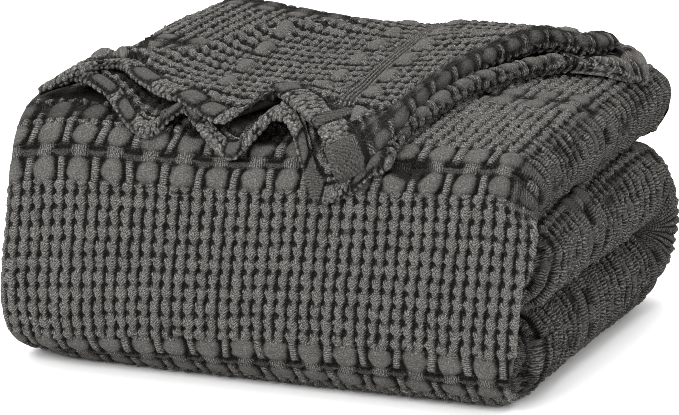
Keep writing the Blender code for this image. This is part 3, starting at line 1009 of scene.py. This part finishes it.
def outer_sheet(name, forward, columns, ends_flat=False, shoulder=False, sunk=0.0):
    """A sheet of the outer layer over these distances forward, listed from front to back.

    ends_flat leaves its right end flat to a thin edge, and shoulder adds the left shoulder.
    """
    past_left, share, past_right = (column[None, :] for column in columns)
    along = along_at(forward)[:, None]
    down = forward[:, None]
    flat_end = 0.0
    if ends_flat:
        flat_end = rising(down, *EDGE_FROM) * (1 - rising(down, *EDGE_TO))
    spots = outer_section(along, past_left, share, past_right, flat_end, sunk)
    left, right = fold_ends(along)
    x = left + (right - left) * share - past_left + past_right
    across, row_down = cloth_at(x, down)
    bend = rising(past_right, *BEND_FROM) * (1 - flat_end) + 0 * across
    height, masks = weave(across, row_down, bend)
    if shoulder:
        height, masks = shouldered(across, x, row_down, height, masks)
    turned = LEFT_CALM * ease(past_left / LEFT_TURN)
    spots = raised(spots, height * roominess(spots, forward) * (1 - turned))
    coordinates = np.stack((x, np.broadcast_to(down, x.shape)), axis=-1)
    flat = (float(np.ptp(x[0])), float(np.ptp(forward)))
    return cloth_sheet(name, spots, coordinates, masks, flat)


BROW_FROM = 0.205
FRONT_FROM = 0.296
FRONT_TO = 0.512
EDGE_REACH = 0.032
EDGE_UNDER = 0.018
EDGE_ROUND = EDGE_REACH + math.pi * EDGE_RADIUS + EDGE_UNDER
front_columns = outer_columns(0.0020, FINE, FINE, EDGE_ROUND)
outer_sheet("front_cloth", spaced(FRONT_FROM, FRONT_TO, FINE)[::-1], front_columns, ends_flat=True)
brow_columns = outer_columns(0.0020, FINE * 0.9, FINE, 0.0)
outer_sheet("brow_cloth", spaced(BROW_FROM, FRONT_FROM, FINE)[::-1], brow_columns, shoulder=True)
top_columns = outer_columns(0.0026, 0.0018, FINE, 0.0)
outer_sheet("top_cloth", spaced(0.0, BROW_FROM, 0.0017)[::-1], top_columns)
under_columns = outer_columns(0.0030, 0.0024, FINE, 0.0)
outer_sheet("under_cloth", spaced(FRONT_TO, NOSE_FROM, 0.0024)[::-1], under_columns)


# ---------------------------------------------------------------- the right side folds
# Where all six layers of the strip turn back together at the right, the outer one is stretched
# round a fat roll. Its cords open there, and its rows stand out as ribs round the roll.
SIDE_TUCK = 0.035
SIDE_STEPS = (0.0014, 0.0012)
BEHIND_EDGE = 0.0014
BEHIND_OVER = 0.008
HOLLOW = (0.345, 0.470, 0.030)
HOLLOW_DEPTH = 0.012
side_columns = spaced(0.0, math.pi * STRIP_THICK / 2 + SIDE_TUCK, SIDE_STEPS[0])
side_columns = np.array([(0.0, 1.0, past) for past in side_columns]).T
side_rows = spaced(0.0, STRIP_LONG, SIDE_STEPS[1])[::-1]
behind = rising(side_rows, FRONT_FROM, BEHIND_OVER)
behind = behind * (1 - rising(side_rows, FRONT_TO - BEHIND_OVER / 2, BEHIND_OVER))
hollow_from, hollow_to, hollow_over = HOLLOW
hollow = rising(side_rows, hollow_from, hollow_over)
hollow = hollow * (1 - rising(side_rows, hollow_to, hollow_over))
sunk = (BEHIND_EDGE * behind + HOLLOW_DEPTH * hollow)[:, None]
outer_sheet("side_folds", side_rows, side_columns, sunk=sunk)


# ---------------------------------------------------------------- the inner layers at the left
# At the left the layers lie free: the cloth folds back once more further in, and its two hemmed
# ends show as rounded edges. They are the same cloth, drawn together where they end.
LAYER_HALF = (LAYER_PITCH - LAYER_GAP) / 2
INWARD = 0.026
INNER_STEPS = (0.0022, 0.0028)
INNER_RISE = 0.8
LEFT_EDGES = (
    # name, layers it joins, shift of its rows
    ("inner_fold", (5, 4), 0.031),
    ("middle_edge", (3, 3), 0.078),
    ("inside_edge", (6, 6), 0.112),
)


def layer_depth(layer):
    """Depth of the middle of a layer below the strip's outer face, in metres."""
    return (layer - 0.5) * LAYER_PITCH - LAYER_GAP / 2


left_rows = spaced(0.0, STRIP_LONG - 0.01, INNER_STEPS[1])[::-1]
for name, (inner, outer), shift in LEFT_EDGES:
    radius = (layer_depth(inner) - layer_depth(outer)) / 2 + LAYER_HALF
    middle = (layer_depth(inner) + layer_depth(outer)) / 2
    quarter = math.pi * radius / 2
    arc = spaced(-INWARD - quarter, INWARD + quarter, INNER_STEPS[0])[None, :]
    turn = np.clip(arc / radius, -math.pi / 2, math.pi / 2)
    tucked = np.abs(arc) - quarter
    along = along_at(left_rows)[:, None]
    x = fold_ends(along)[0] - radius * np.cos(turn) + np.clip(tucked, 0.0, None)
    spots = place(along, x, (middle - radius * np.sin(turn)) / STRIP_THICK)
    forward = left_rows[:, None] + 0 * arc
    height, masks = weave(arc / PUFF_PITCH + 0 * forward, forward + shift)
    spots = raised(spots, height * INNER_RISE)
    coordinates = np.stack((arc + 0 * forward, forward), axis=-1)
    cloth_sheet(name, spots, coordinates, masks, (float(np.ptp(arc)), float(np.ptp(left_rows))))


# ---------------------------------------------------------------- the hemmed edges at the back
# The back end of the upper run shows the edges of all six layers, one behind another along the
# zigzag of the folds, each a soft rounded hem.
ORDER = (6, 1, 2, 5, 4, 3)
HEM_SIDE_STEPS = 60
HEM_ROUND_STEPS = 9
HEM_TUCK = 0.002
HEM_MASKS = {"height": 0.6, "bar": 0.5}


def zigzag(left, right):
    """Points along the middles of the six layers, x and depth, as the folds follow one another."""
    path = []
    for step, layer in enumerate(ORDER):
        heading = 1 if step % 2 == 0 else -1
        start, end = (left, right)[::heading]
        path += [(x, layer_depth(layer)) for x in np.linspace(start, end, HEM_SIDE_STEPS)]
        if step == LAYERS - 1:
            return np.array(path)
        centre = (layer_depth(layer) + layer_depth(ORDER[step + 1])) / 2
        radius = layer_depth(layer) - centre
        turn = np.linspace(math.pi / 2, -math.pi / 2, 4 + int(abs(radius) / 0.003))[1:-1]
        out = end + heading * abs(radius) * np.cos(turn)
        path += list(zip(out, centre + radius * np.sin(turn)))


path = zigzag(*(float(end) for end in fold_ends(UPPER_END)))
ahead = np.gradient(path, axis=0)
ahead /= np.linalg.norm(ahead, axis=1, keepdims=True)
run = np.concatenate(([0.0], np.cumsum(np.linalg.norm(np.diff(path, axis=0), axis=1))))
turn = np.linspace(0.0, math.pi, HEM_ROUND_STEPS)[:, None]
x = path[:, 0] + LAYER_HALF * np.cos(turn) * ahead[:, 1]
depth = path[:, 1] - LAYER_HALF * np.cos(turn) * ahead[:, 0]
spots = place(UPPER_END, x, depth / STRIP_THICK, LAYER_HALF * np.sin(turn) - HEM_TUCK)
round_hem = LAYER_HALF * turn
spots = raised(spots, uneven("back hems", run[None, :], round_hem))
coordinates = np.stack((run + 0 * turn, round_hem + 0 * run), axis=-1)
cloth_sheet("back_hems", spots, coordinates, HEM_MASKS, (float(run[-1]), LAYER_HALF * math.pi))


# ---------------------------------------------------------------- the loose corner on top
# The corner of the cloth, two layers with frilled narrow hems, is spread over the stack and goes in
# at the back. Its right edges roll over into ropes, and its front edge stands up in frills.
FLAP_THICK = 0.005
LEFT_DROOP = 0.015
FLAP_WIDTH = 0.250
FRILL_LENGTH = 0.060
HEM_WIDE = 0.0085
HEM_EDGE = 0.0012
HEM_SHARE = 0.055
HEM_STEPS = 20
KNOB_PITCH = 0.0043
KNOB_ROWS = (-0.0042, -0.0008, 0.0026, 0.0060)
KNOB_HALF = 0.002532
KNOB_RISE = 0.0021
FINGER_AT = 0.0020
FINGER_HALF = 0.0046
FINGER_RISE = 0.0018
FINGER_FIRM = 5
FINGER_SQUARE = 4
FINGER_TONES = (0.18, 0.50)
FINGER_OUTLINE = (1.24, 0.08)
OUTLINE_PAINTED_SHADE = 0.8
KNOB_TONE = 1.05
HEM_RISE = 0.0002
UNDERSIDE_PAINTED_SHADE = 0.75
UNDERSIDE_SHADE_FROM = (-0.004, 0.004)
GROOVE_DEPTH = 0.0024
GROOVE_HALF = 0.0016
GROOVE_AT = HEM_WIDE - 0.0004
PATCH_OVER = 0.004
PATCH_SQUARE = 6
PATCH_INSIDE = (1.0, 0.10)
PATCH_RIM = (1.22, 0.08)
PATCH_RISE = 0.0024
PATCH_GROOVE = 0.0012
PATCH_RIM_PAINTED_SHADE = 0.6
PATCH_TONES = {"height": 0.60, "puff": 0.7, "bar": 0.45}
HUMP_X = (0.010, 0.105, 0.030)
HUMP_FORWARD = (0.100, 0.060)
UNDER_SHARE = 0.24
ROLL_BELOW = 0.7
ROLL_TO = math.radians(150)
ROLL_STEP = 0.0014
RIM_STEPS = 8
BACK_STEPS = 14
BACK_CLOTH = 0.05
LOWER_FLAP = {
    "hem": (
        # across, forward, lift
        (-0.176, 0.256, 0.006),
        (-0.171, 0.252, 0.009),
        (-0.163, 0.246, 0.010),
        (-0.152, 0.246, 0.012),
        (-0.140, 0.250, 0.012),
        (-0.132, 0.254, 0.011),
        (-0.124, 0.257, 0.008),
        (-0.114, 0.267, 0.006),
        (-0.104, 0.277, 0.005),
        (-0.092, 0.282, 0.005),
        (-0.083, 0.277, 0.007),
        (-0.076, 0.270, 0.011),
        (-0.067, 0.264, 0.014),
        (-0.059, 0.270, 0.011),
        (-0.050, 0.277, 0.007),
        (-0.041, 0.284, 0.005),
        (-0.031, 0.288, 0.005),
        (-0.023, 0.282, 0.007),
        (-0.015, 0.274, 0.011),
        (-0.008, 0.267, 0.015),
        (-0.001, 0.264, 0.016),
        (0.006, 0.266, 0.014),
        (0.012, 0.273, 0.011),
        (0.016, 0.282, 0.008),
        (0.020, 0.291, 0.006),
        (0.024, 0.302, 0.005),
        (0.031, 0.312, 0.005),
        (0.045, 0.308, 0.005),
        (0.062, 0.296, 0.006),
        (0.078, 0.284, 0.008),
    ),
    "left": (
        (-0.176, 0.256, 0.006),
        (-0.150, 0.190, 0.006),
        (-0.160, 0.100, 0.005),
        (-0.152, 0.000, 0.005),
    ),
    "roll": (
        (0.078, 0.284, 0.008),
        (0.090, 0.230, 0.009),
        (0.095, 0.165, 0.009),
        (0.108, 0.115, 0.009),
        (0.132, 0.074, 0.0115),
        (0.172, 0.062, 0.0105),
        (0.183, 0.040, 0.0105),
        (0.154, 0.000, 0.005),
    ),
    "rest": 0.0048,
    "rise": 0.024,
    "layer": 2,
    "reach": 0.0065,
    "roll_radius": 0.0070,
    "roll_pods": (0.0162, 0.0457, 0.33),
    "back_rise": 0.0,
    # smooth folded lengths of its hem, from and to across
    "fingers": (
        (-0.139, -0.122),
        (-0.115, -0.103),
        (-0.081, -0.068),
        (-0.066, -0.056),
        (-0.036, -0.025),
        (0.014, 0.021),
        (0.054, 0.074),
    ),
    # broad smooth patches at its tip: from and to across, and how tall
    "patches": ((0.0215, 0.0330, 0.012),),
}
UPPER_FLAP = {
    "hem": (
        (-0.163, 0.258, 0.014),
        (-0.156, 0.254, 0.016),
        (-0.147, 0.248, 0.017),
        (-0.141, 0.245, 0.018),
        (-0.135, 0.236, 0.018),
        (-0.126, 0.229, 0.018),
        (-0.116, 0.236, 0.018),
        (-0.104, 0.248, 0.018),
        (-0.092, 0.254, 0.018),
        (-0.080, 0.259, 0.018),
        (-0.068, 0.262, 0.019),
        (-0.059, 0.265, 0.018),
        (-0.050, 0.269, 0.017),
        (-0.040, 0.273, 0.017),
        (-0.033, 0.271, 0.018),
        (-0.026, 0.265, 0.020),
        (-0.020, 0.256, 0.022),
        (-0.014, 0.246, 0.024),
        (-0.008, 0.247, 0.024),
        (0.002, 0.252, 0.022),
        (0.012, 0.259, 0.020),
        (0.021, 0.265, 0.019),
        (0.028, 0.270, 0.017),
        (0.035, 0.277, 0.015),
        (0.039, 0.286, 0.014),
        (0.043, 0.294, 0.013),
        (0.047, 0.302, 0.013),
    ),
    "left": (
        (-0.163, 0.258, 0.014),
        (-0.132, 0.190, 0.012),
        (-0.152, 0.100, 0.013),
        (-0.150, 0.000, 0.012),
    ),
    "roll": (
        (0.047, 0.302, 0.013),
        (0.068, 0.288, 0.016),
        (0.083, 0.262, 0.016),
        (0.086, 0.200, 0.017),
        (0.094, 0.120, 0.019),
        (0.117, 0.074, 0.025),
        (0.146, 0.050, 0.020),
        (0.146, 0.000, 0.012),
    ),
    "rest": 0.0118,
    "rise": 0.100,
    "layer": 4,
    "reach": 0.0125,
    "roll_radius": 0.0085,
    "roll_pods": (0.0162, 0.0380, 0.0),
    "back_rise": 0.005,
    "fingers": ((-0.114, -0.094), (-0.071, -0.056), (-0.054, -0.041), (-0.011, 0.000)),
    "patches": ((0.0255, 0.0312, 0.013), (0.0400, 0.0475, 0.0108)),
}


def round_drop(past, radius):
    """How far a round edge of this radius has fallen away, past the end of the flat."""
    past = np.clip(past, 0.0, radius)
    return radius - np.sqrt(radius**2 - past**2)


def outside(x, forward, lift):
    """Points that stand off the outer face of the stack, following its top and its right fold."""
    along = along_at(np.clip(forward, 0.0, None))
    outer_y, outer_z, inner_y, inner_z = strip_guides(along)
    left, right = fold_ends(along)
    drop = round_drop(x - right, STRIP_THICK / 2) + round_drop(left - x, LEFT_DROOP)
    return place(along, x, (drop - lift) / np.hypot(outer_y - inner_y, outer_z - inner_z))


def curve(rows, share):
    """Rows of numbers at shares of the way along a smooth curve through these rows."""
    rows = np.array(rows)
    steps = np.hypot(*np.diff(rows[:, :2], axis=0).T)
    knots = np.concatenate(([0.0], np.cumsum(steps))) / steps.sum()
    share = np.asarray(share, float)
    k = np.clip(np.searchsorted(knots, share, side="right") - 1, 0, len(rows) - 2)
    gap = (knots[k + 1] - knots[k])[..., None]
    t = (share - knots[k])[..., None] / gap

    def slope(i):
        before, after = np.clip(i - 1, 0, None), np.clip(i + 1, None, len(rows) - 1)
        return (rows[after] - rows[before]) / (knots[after] - knots[before])[..., None] * gap

    ahead = t * t * (3 - 2 * t)
    found = rows[k] * (1 - ahead) + rows[k + 1] * ahead
    return found + slope(k) * t * (1 - t) ** 2 - slope(k + 1) * t * t * (1 - t)


def flap_spots(flap, u, v):
    """Across, forward and lift at shares u from left to right and v from the hem to the back."""
    left, roll, hem = (np.array(flap[edge]) for edge in ("left", "roll", "hem"))
    front = curve(hem, u)[None, :, :]
    side_l, side_r = (curve(edge, v)[:, None, :] for edge in (left, roll))
    u, v = u[None, :, None], v[:, None, None]
    back = left[-1] * (1 - u) + roll[-1] * u
    spot = (1 - v) * front + v * back + (1 - u) * side_l + u * side_r
    spot = spot - (1 - u) * (1 - v) * hem[0] - u * (1 - v) * hem[-1]
    spot = spot - (1 - u) * v * left[-1] - u * v * roll[-1]
    length = np.clip(front[..., 1] - back[..., 1], FRILL_LENGTH, None)
    frill = 1 - ease(v[..., 0] * length / FRILL_LENGTH)
    edge = ease(1 - (1 - u[..., 0]) * FLAP_WIDTH / flap["rise"])
    rest = flap["rest"]
    lift = rest + (front[..., 2] - rest) * frill + (side_r[..., 2] - rest) * edge * (1 - frill)
    x, forward = spot[..., 0], spot[..., 1]
    hump_from, hump_to, hump_over = HUMP_X
    hump = rising(x, hump_from, hump_over) * (1 - rising(x, hump_to, hump_over))
    return x, forward, lift + flap["back_rise"] * hump * falling(forward, *HUMP_FORWARD)


def flap_columns(radius, steps):
    """The columns of a flap: share across, height over its middle, and distance round its roll."""
    half = FLAP_THICK / 2
    start = -math.acos(half / radius)
    turn = spaced(start, ROLL_TO, ROLL_STEP / radius)[1:]
    roll_from = 1 - radius / FLAP_WIDTH
    flat = np.linspace(0.0, roll_from + radius * math.sin(start) / FLAP_WIDTH, steps)
    u = np.concatenate((flat, roll_from + radius * np.sin(turn) / FLAP_WIDTH))
    up = np.concatenate((np.full(steps, half), radius * np.cos(turn)))
    return u, up, np.concatenate((np.zeros(steps), radius * (turn - start)))


def flap_sheet(name, flap, steps, pattern, flat):
    """One layer of the corner: the underside of its frills, its hem, its top and its turn at the back."""
    half = FLAP_THICK / 2
    u, up, round_roll = flap_columns(flap["roll_radius"], steps[0])
    v = np.linspace(HEM_SHARE, 1.0, steps[1])[1:]
    v = np.concatenate((np.linspace(0.0, HEM_SHARE, HEM_STEPS), v))
    x, forward, lift = flap_spots(flap, u, v)
    top = outside(x, forward, lift + up)

    under_rows = np.arange(0, len(v), 2)
    under_rows = under_rows[v[under_rows] < UNDER_SHARE][::-1]
    below = np.where(up > 0, -up, ROLL_BELOW * up)
    under = outside(x[under_rows], forward[under_rows], lift[under_rows] + below)

    rims = np.linspace(math.pi, 0.0, RIM_STEPS)[1:-1, None]
    hem_out = np.stack((x[0] - x[1], forward[0] - forward[1]))
    out = hem_out / np.hypot(*hem_out) * half
    rise = np.where(np.cos(rims) > 0, up, -below) * np.cos(rims)
    rim_x, rim_forward = x[0] + out[0] * np.sin(rims), forward[0] + out[1] * np.sin(rims)
    rim = outside(rim_x, rim_forward, lift[0] + rise)

    turns = np.linspace(0.0, math.pi, BACK_STEPS)[1:, None]
    flat_up = np.clip(up, -half, half)
    back_from = -lift[-1] / STRIP_THICK
    back_to = layer_depth(flap["layer"]) / STRIP_THICK
    tall = (back_to - back_from) / 2 + flat_up / STRIP_THICK
    depth = (back_from + back_to) / 2 - tall * np.cos(turns)
    back = place(UPPER_END, x[-1], depth, (flap["reach"] + flat_up) * np.sin(turns))
    spots = np.concatenate((under, rim, top, back))

    def with_ends(values):
        """Rows of the top, repeated for the underside, the rim and the turn at the back."""
        values = np.broadcast_to(values, top.shape[:2])
        ends = values[:1].repeat(len(rims), 0), values[-1:].repeat(len(turns), 0)
        return np.concatenate((values[under_rows], ends[0], values, ends[1]))

    # Cloth coordinates: metres across and metres down to the hem.
    under_down = 2 * forward[0] + HEM_WIDE - forward[under_rows]
    rim_down = forward[0] + rims / math.pi * HEM_WIDE
    back_down = forward[-1] - turns / math.pi * BACK_CLOTH
    down = np.concatenate((under_down, rim_down, forward, back_down))
    from_hem = forward[0] - down
    edge_at = steps[0] - 1
    edge = with_ends(x[:, edge_at, None])
    across = np.where(round_roll > 0, edge + round_roll, with_ends(x))
    pod_wide, pod_long, pod_shift = flap["roll_pods"]
    along_roll = edge / pod_wide - with_ends(forward[:, edge_at, None]) / pod_long - pod_shift
    along_hem = np.cumsum(np.hypot(np.diff(x[0]), np.diff(forward[0])))
    along_hem = with_ends(np.concatenate(([0.0], along_hem)))
    height, masks = pattern(across, down, from_hem, across - edge, along_roll)
    height, masks = hemmed(flap, height, masks, with_ends(x[:1]), from_hem, along_hem)
    coordinates = np.stack((across, down), axis=-1)
    return cloth_sheet(name, raised(spots, height), coordinates, masks, flat)


def centred(value, start, end):
    """0 in the middle between these two, -1 at the start and 1 at the end."""
    return (2 * value - start - end) / (end - start)


def hem_edge(flap, wavy, x, along_hem):
    """The rolled edge of a hem: its height, its tone with painted shade on the finger outlines, and where
    it is smooth and folded.
    """
    knob = 0.0
    for row, row_at in enumerate(KNOB_ROWS):
        number = np.round(along_hem / KNOB_PITCH + row / 2)
        beside = along_hem - (number - row / 2) * KNOB_PITCH
        size = KNOB_HALF * (1 + varied("knob size", number, row))
        away = wavy - row_at + varied("knob place", number, row)
        knob = np.maximum(knob, bulge(np.hypot(beside, away), size) ** 0.6)
    finger = np.full(x.shape, np.inf)
    for start, end in flap["fingers"]:
        up = (wavy - FINGER_AT) / FINGER_HALF
        finger = np.minimum(finger, squared_off(centred(x, start, end), up, FINGER_SQUARE))
    smooth = finger < 1
    padded = plump(finger, FINGER_FIRM)
    # A dark outline of painted shade round each smooth finger, over a real shallow drop.
    outline = falling(finger, *FINGER_OUTLINE) * (finger >= 1)
    height = np.where(smooth, FINGER_RISE * padded, KNOB_RISE * knob * (1 - outline))
    knob_tone = KNOB_TONE * knob**2.6 * (1 - OUTLINE_PAINTED_SHADE * outline)
    tone = np.where(smooth, FINGER_TONES[0] + FINGER_TONES[1] * padded, knob_tone)
    return HEM_RISE + height, tone, smooth


def hemmed(flap, height, masks, x, from_hem, along_hem):
    """The weave with its narrow rolled hem, painted shade under it and in its groove, and the broad smooth
    patches at the tip, with painted shade round them.
    """
    wavy = from_hem + uneven("hem", along_hem, 0 * along_hem)
    hem = falling(wavy, HEM_WIDE, HEM_EDGE)
    edge, tone, smooth = hem_edge(flap, wavy, x, along_hem)
    groove = GROOVE_DEPTH * bulge(wavy - GROOVE_AT, GROOVE_HALF)
    masks = {key: mask * (1 - hem) for key, mask in masks.items()}
    # Painted shade on the underside of the frills, and in the groove behind the hem.
    under = UNDERSIDE_PAINTED_SHADE * falling(from_hem, *UNDERSIDE_SHADE_FROM)
    masks["height"] = (masks["height"] + hem * tone) * (1 - under) - groove / TALLEST
    masks["puff"] = masks["puff"] + hem * smooth
    height = height * (1 - hem) + edge * hem - groove
    for start, end, tall in flap["patches"]:
        up = centred(from_hem, -PATCH_OVER, tall)
        patch = squared_off(centred(x, start, end), up, PATCH_SQUARE)
        inside = falling(patch, *PATCH_INSIDE)
        rim = falling(patch, *PATCH_RIM) * (1 - inside)
        height = height * (1 - inside) + PATCH_RISE * inside - PATCH_GROOVE * rim
        for key, tone in PATCH_TONES.items():
            masks[key] = masks[key] * (1 - inside) + tone * inside
        # Painted shade in the groove round each patch.
        masks["height"] = masks["height"] - PATCH_RIM_PAINTED_SHADE * rim
    return height, masks


# Where the rows of the upper layer lie: each piece of its front repeats a part of the pattern.
UPPER_LEAN = 0.10
UPPER_PITCH = 0.0440
UPPER_BANDS = (
    # from, middle of its puffs, distance down the pattern there, narrowing to its left and right
    (-1.000, -0.076, FIRST_ROW + SECOND_ROW, -1.608, 1.608),
    (-0.042, -0.008, FIRST_ROW, 1.608, -1.608),
    (0.0190, 0.026, FIRST_ROW + SECOND_ROW, 1.40, 1.40),
)
UPPER_PUFFS = (0.86, 1.75)
ROLL_PUFFS = (1.14, 0.90)
ROLL_BAND = (-0.0050, 0.0020, 1.4)
RIBS = (0.0095, 0.0225)
RIB_PITCH = 0.0029
RIB_RISE = (0.0012, 0.0022)
RIB_TONES = (0.42, 0.55)
RIB_EDGE = 0.001
RIDGE = (
    # across, forward: the soft fold behind which the cloth lies the other way
    (-0.150, 0.222),
    (-0.1225, 0.215),
    (-0.111, 0.198),
    (-0.097, 0.179),
    (-0.086, 0.127),
    (-0.082, 0.096),
    (-0.065, 0.067),
    (-0.036, 0.045),
    (-0.022, 0.010),
    (-0.018, -0.010),
)
BACK_PUFF_X = -0.1095
BACK_ROW = 0.132
BACK_NARROW = 1.05
BACK_FROM = (0.0015, 0.003)
LEAP = 0.0085
LEAP_AHEAD = 0.016
LEAP_BEHIND = 0.005
LEAP_FADE = (-0.005, 0.050)
LEAP_SHADE = (0.3, 0.0040, 0.0032)
CALM_FORWARD = (-0.020, 0.105)
CALM_X = (-0.170, 0.045)
CALM_RISE = 0.40
GAPS_DARKER = 1.45
GAPS_PALEST = 1.06


def beside_ridge(x, forward):
    """Distance in front of the ridge, less than 0 behind it."""
    nearest = np.full(np.shape(x), np.inf)
    ahead = np.zeros(np.shape(x))
    for (x0, f0), (x1, f1) in zip(RIDGE[:-1], RIDGE[1:]):
        long = math.hypot(x1 - x0, f1 - f0)
        along = np.clip(((x - x0) * (x1 - x0) + (forward - f0) * (f1 - f0)) / long**2, 0.0, 1.0)
        away = np.hypot(x - x0 - along * (x1 - x0), forward - f0 - along * (f1 - f0))
        side = ((x1 - x0) * (forward - f0) - (f1 - f0) * (x - x0)) / long
        ahead = np.where(away < nearest, np.sign(side), ahead)
        nearest = np.minimum(nearest, away)
    return nearest * ahead


def crossed(x, forward, from_hem, past_edge, along_roll):
    """The weave of the upper layer, wherever it lies from the hem.

    Its rows run front to back, along its roll, and across behind the ridge.
    """
    leaning = x - UPPER_LEAN * forward
    row_x = np.zeros(x.shape)
    for start, middle, down, left, right in UPPER_BANDS:
        narrow = np.where(leaning > middle, right, left)
        row_x = np.where(leaning > start, down + (leaning - middle) * narrow, row_x)
    roll_from, roll_middle, roll_narrow = ROLL_BAND
    on_roll = past_edge > roll_from
    row_x = np.where(on_roll, FIRST_ROW + (past_edge - roll_middle) * roll_narrow, row_x)
    across = np.where(on_roll, along_roll, -forward / UPPER_PITCH)
    fill, tall = (np.where(on_roll, on, flat) for on, flat in zip(ROLL_PUFFS, UPPER_PUFFS))
    height, masks = weave(across, row_x, 0.0, fill, tall)

    in_ribs = rising(leaning, RIBS[0], RIB_EDGE) * falling(leaning, RIBS[1], RIB_EDGE)
    in_ribs = in_ribs * (1 - on_roll)
    rib = 0.5 + 0.5 * np.cos(2 * math.pi * (leaning - RIBS[0]) / RIB_PITCH)
    height = height * (1 - in_ribs) + (RIB_RISE[0] + RIB_RISE[1] * rib) * in_ribs
    masks["height"] = masks["height"] * (1 - in_ribs) + (RIB_TONES[0] + RIB_TONES[1] * rib) * in_ribs

    behind = weave((x - BACK_PUFF_X) / PUFF_PITCH, FIRST_ROW + (forward - BACK_ROW) * BACK_NARROW)
    ahead = beside_ridge(x, forward)
    height, masks = blended(falling(ahead, *BACK_FROM), (height, masks), behind)
    # Painted shade in the crease behind the ridge, then the gaps of the weave painted deeper in shade.
    shade, shade_at, shade_half = LEAP_SHADE
    masks["height"] = masks["height"] - shade * bulge(ahead + shade_at, shade_half)
    masks["height"] = masks["height"] * GAPS_DARKER - (GAPS_DARKER - 1) * GAPS_PALEST
    full = np.maximum(rising(forward, *CALM_FORWARD) * rising(x, *CALM_X), on_roll)
    height = height * (CALM_RISE + (1 - CALM_RISE) * full)
    fall = np.exp(-np.clip(ahead, 0.0, None) / LEAP_AHEAD)
    fold = LEAP * np.where(ahead > 0, fall, ease(1 + ahead / LEAP_BEHIND))
    return height + fold * rising(forward, *LEAP_FADE), masks


# The lower layer's rows follow its roll. Between its roll and its hem, under the upper layer, shade is
# painted into it.
LOWER_PUFFS = 0.0125
LOWER_NARROW = 1.3
SHADE_FROM_HEM = (0.009, 0.012)
SHADE_PAST_EDGE = (-0.035, 0.010)
SHADE_X = (-0.176, 0.016)
SHADE_DEEP = 0.7


def rolled(x, forward, from_hem, past_edge, along_roll):
    """The weave of the lower layer, with painted shade between its roll and its hem."""
    down = FIRST_ROW + SECOND_ROW + (past_edge - LOWER_PUFFS) * LOWER_NARROW
    height, masks = weave(along_roll, down)
    shade = rising(from_hem, *SHADE_FROM_HEM) * falling(past_edge, *SHADE_PAST_EDGE)
    masks["height"] = masks["height"] * (1 - SHADE_DEEP * shade * rising(x, *SHADE_X))
    return height, masks


flap_sheet("lower_corner", LOWER_FLAP, (380, 120), rolled, (0.36, 0.42))
flap_sheet("upper_corner", UPPER_FLAP, (380, 150), crossed, (0.33, 0.42))
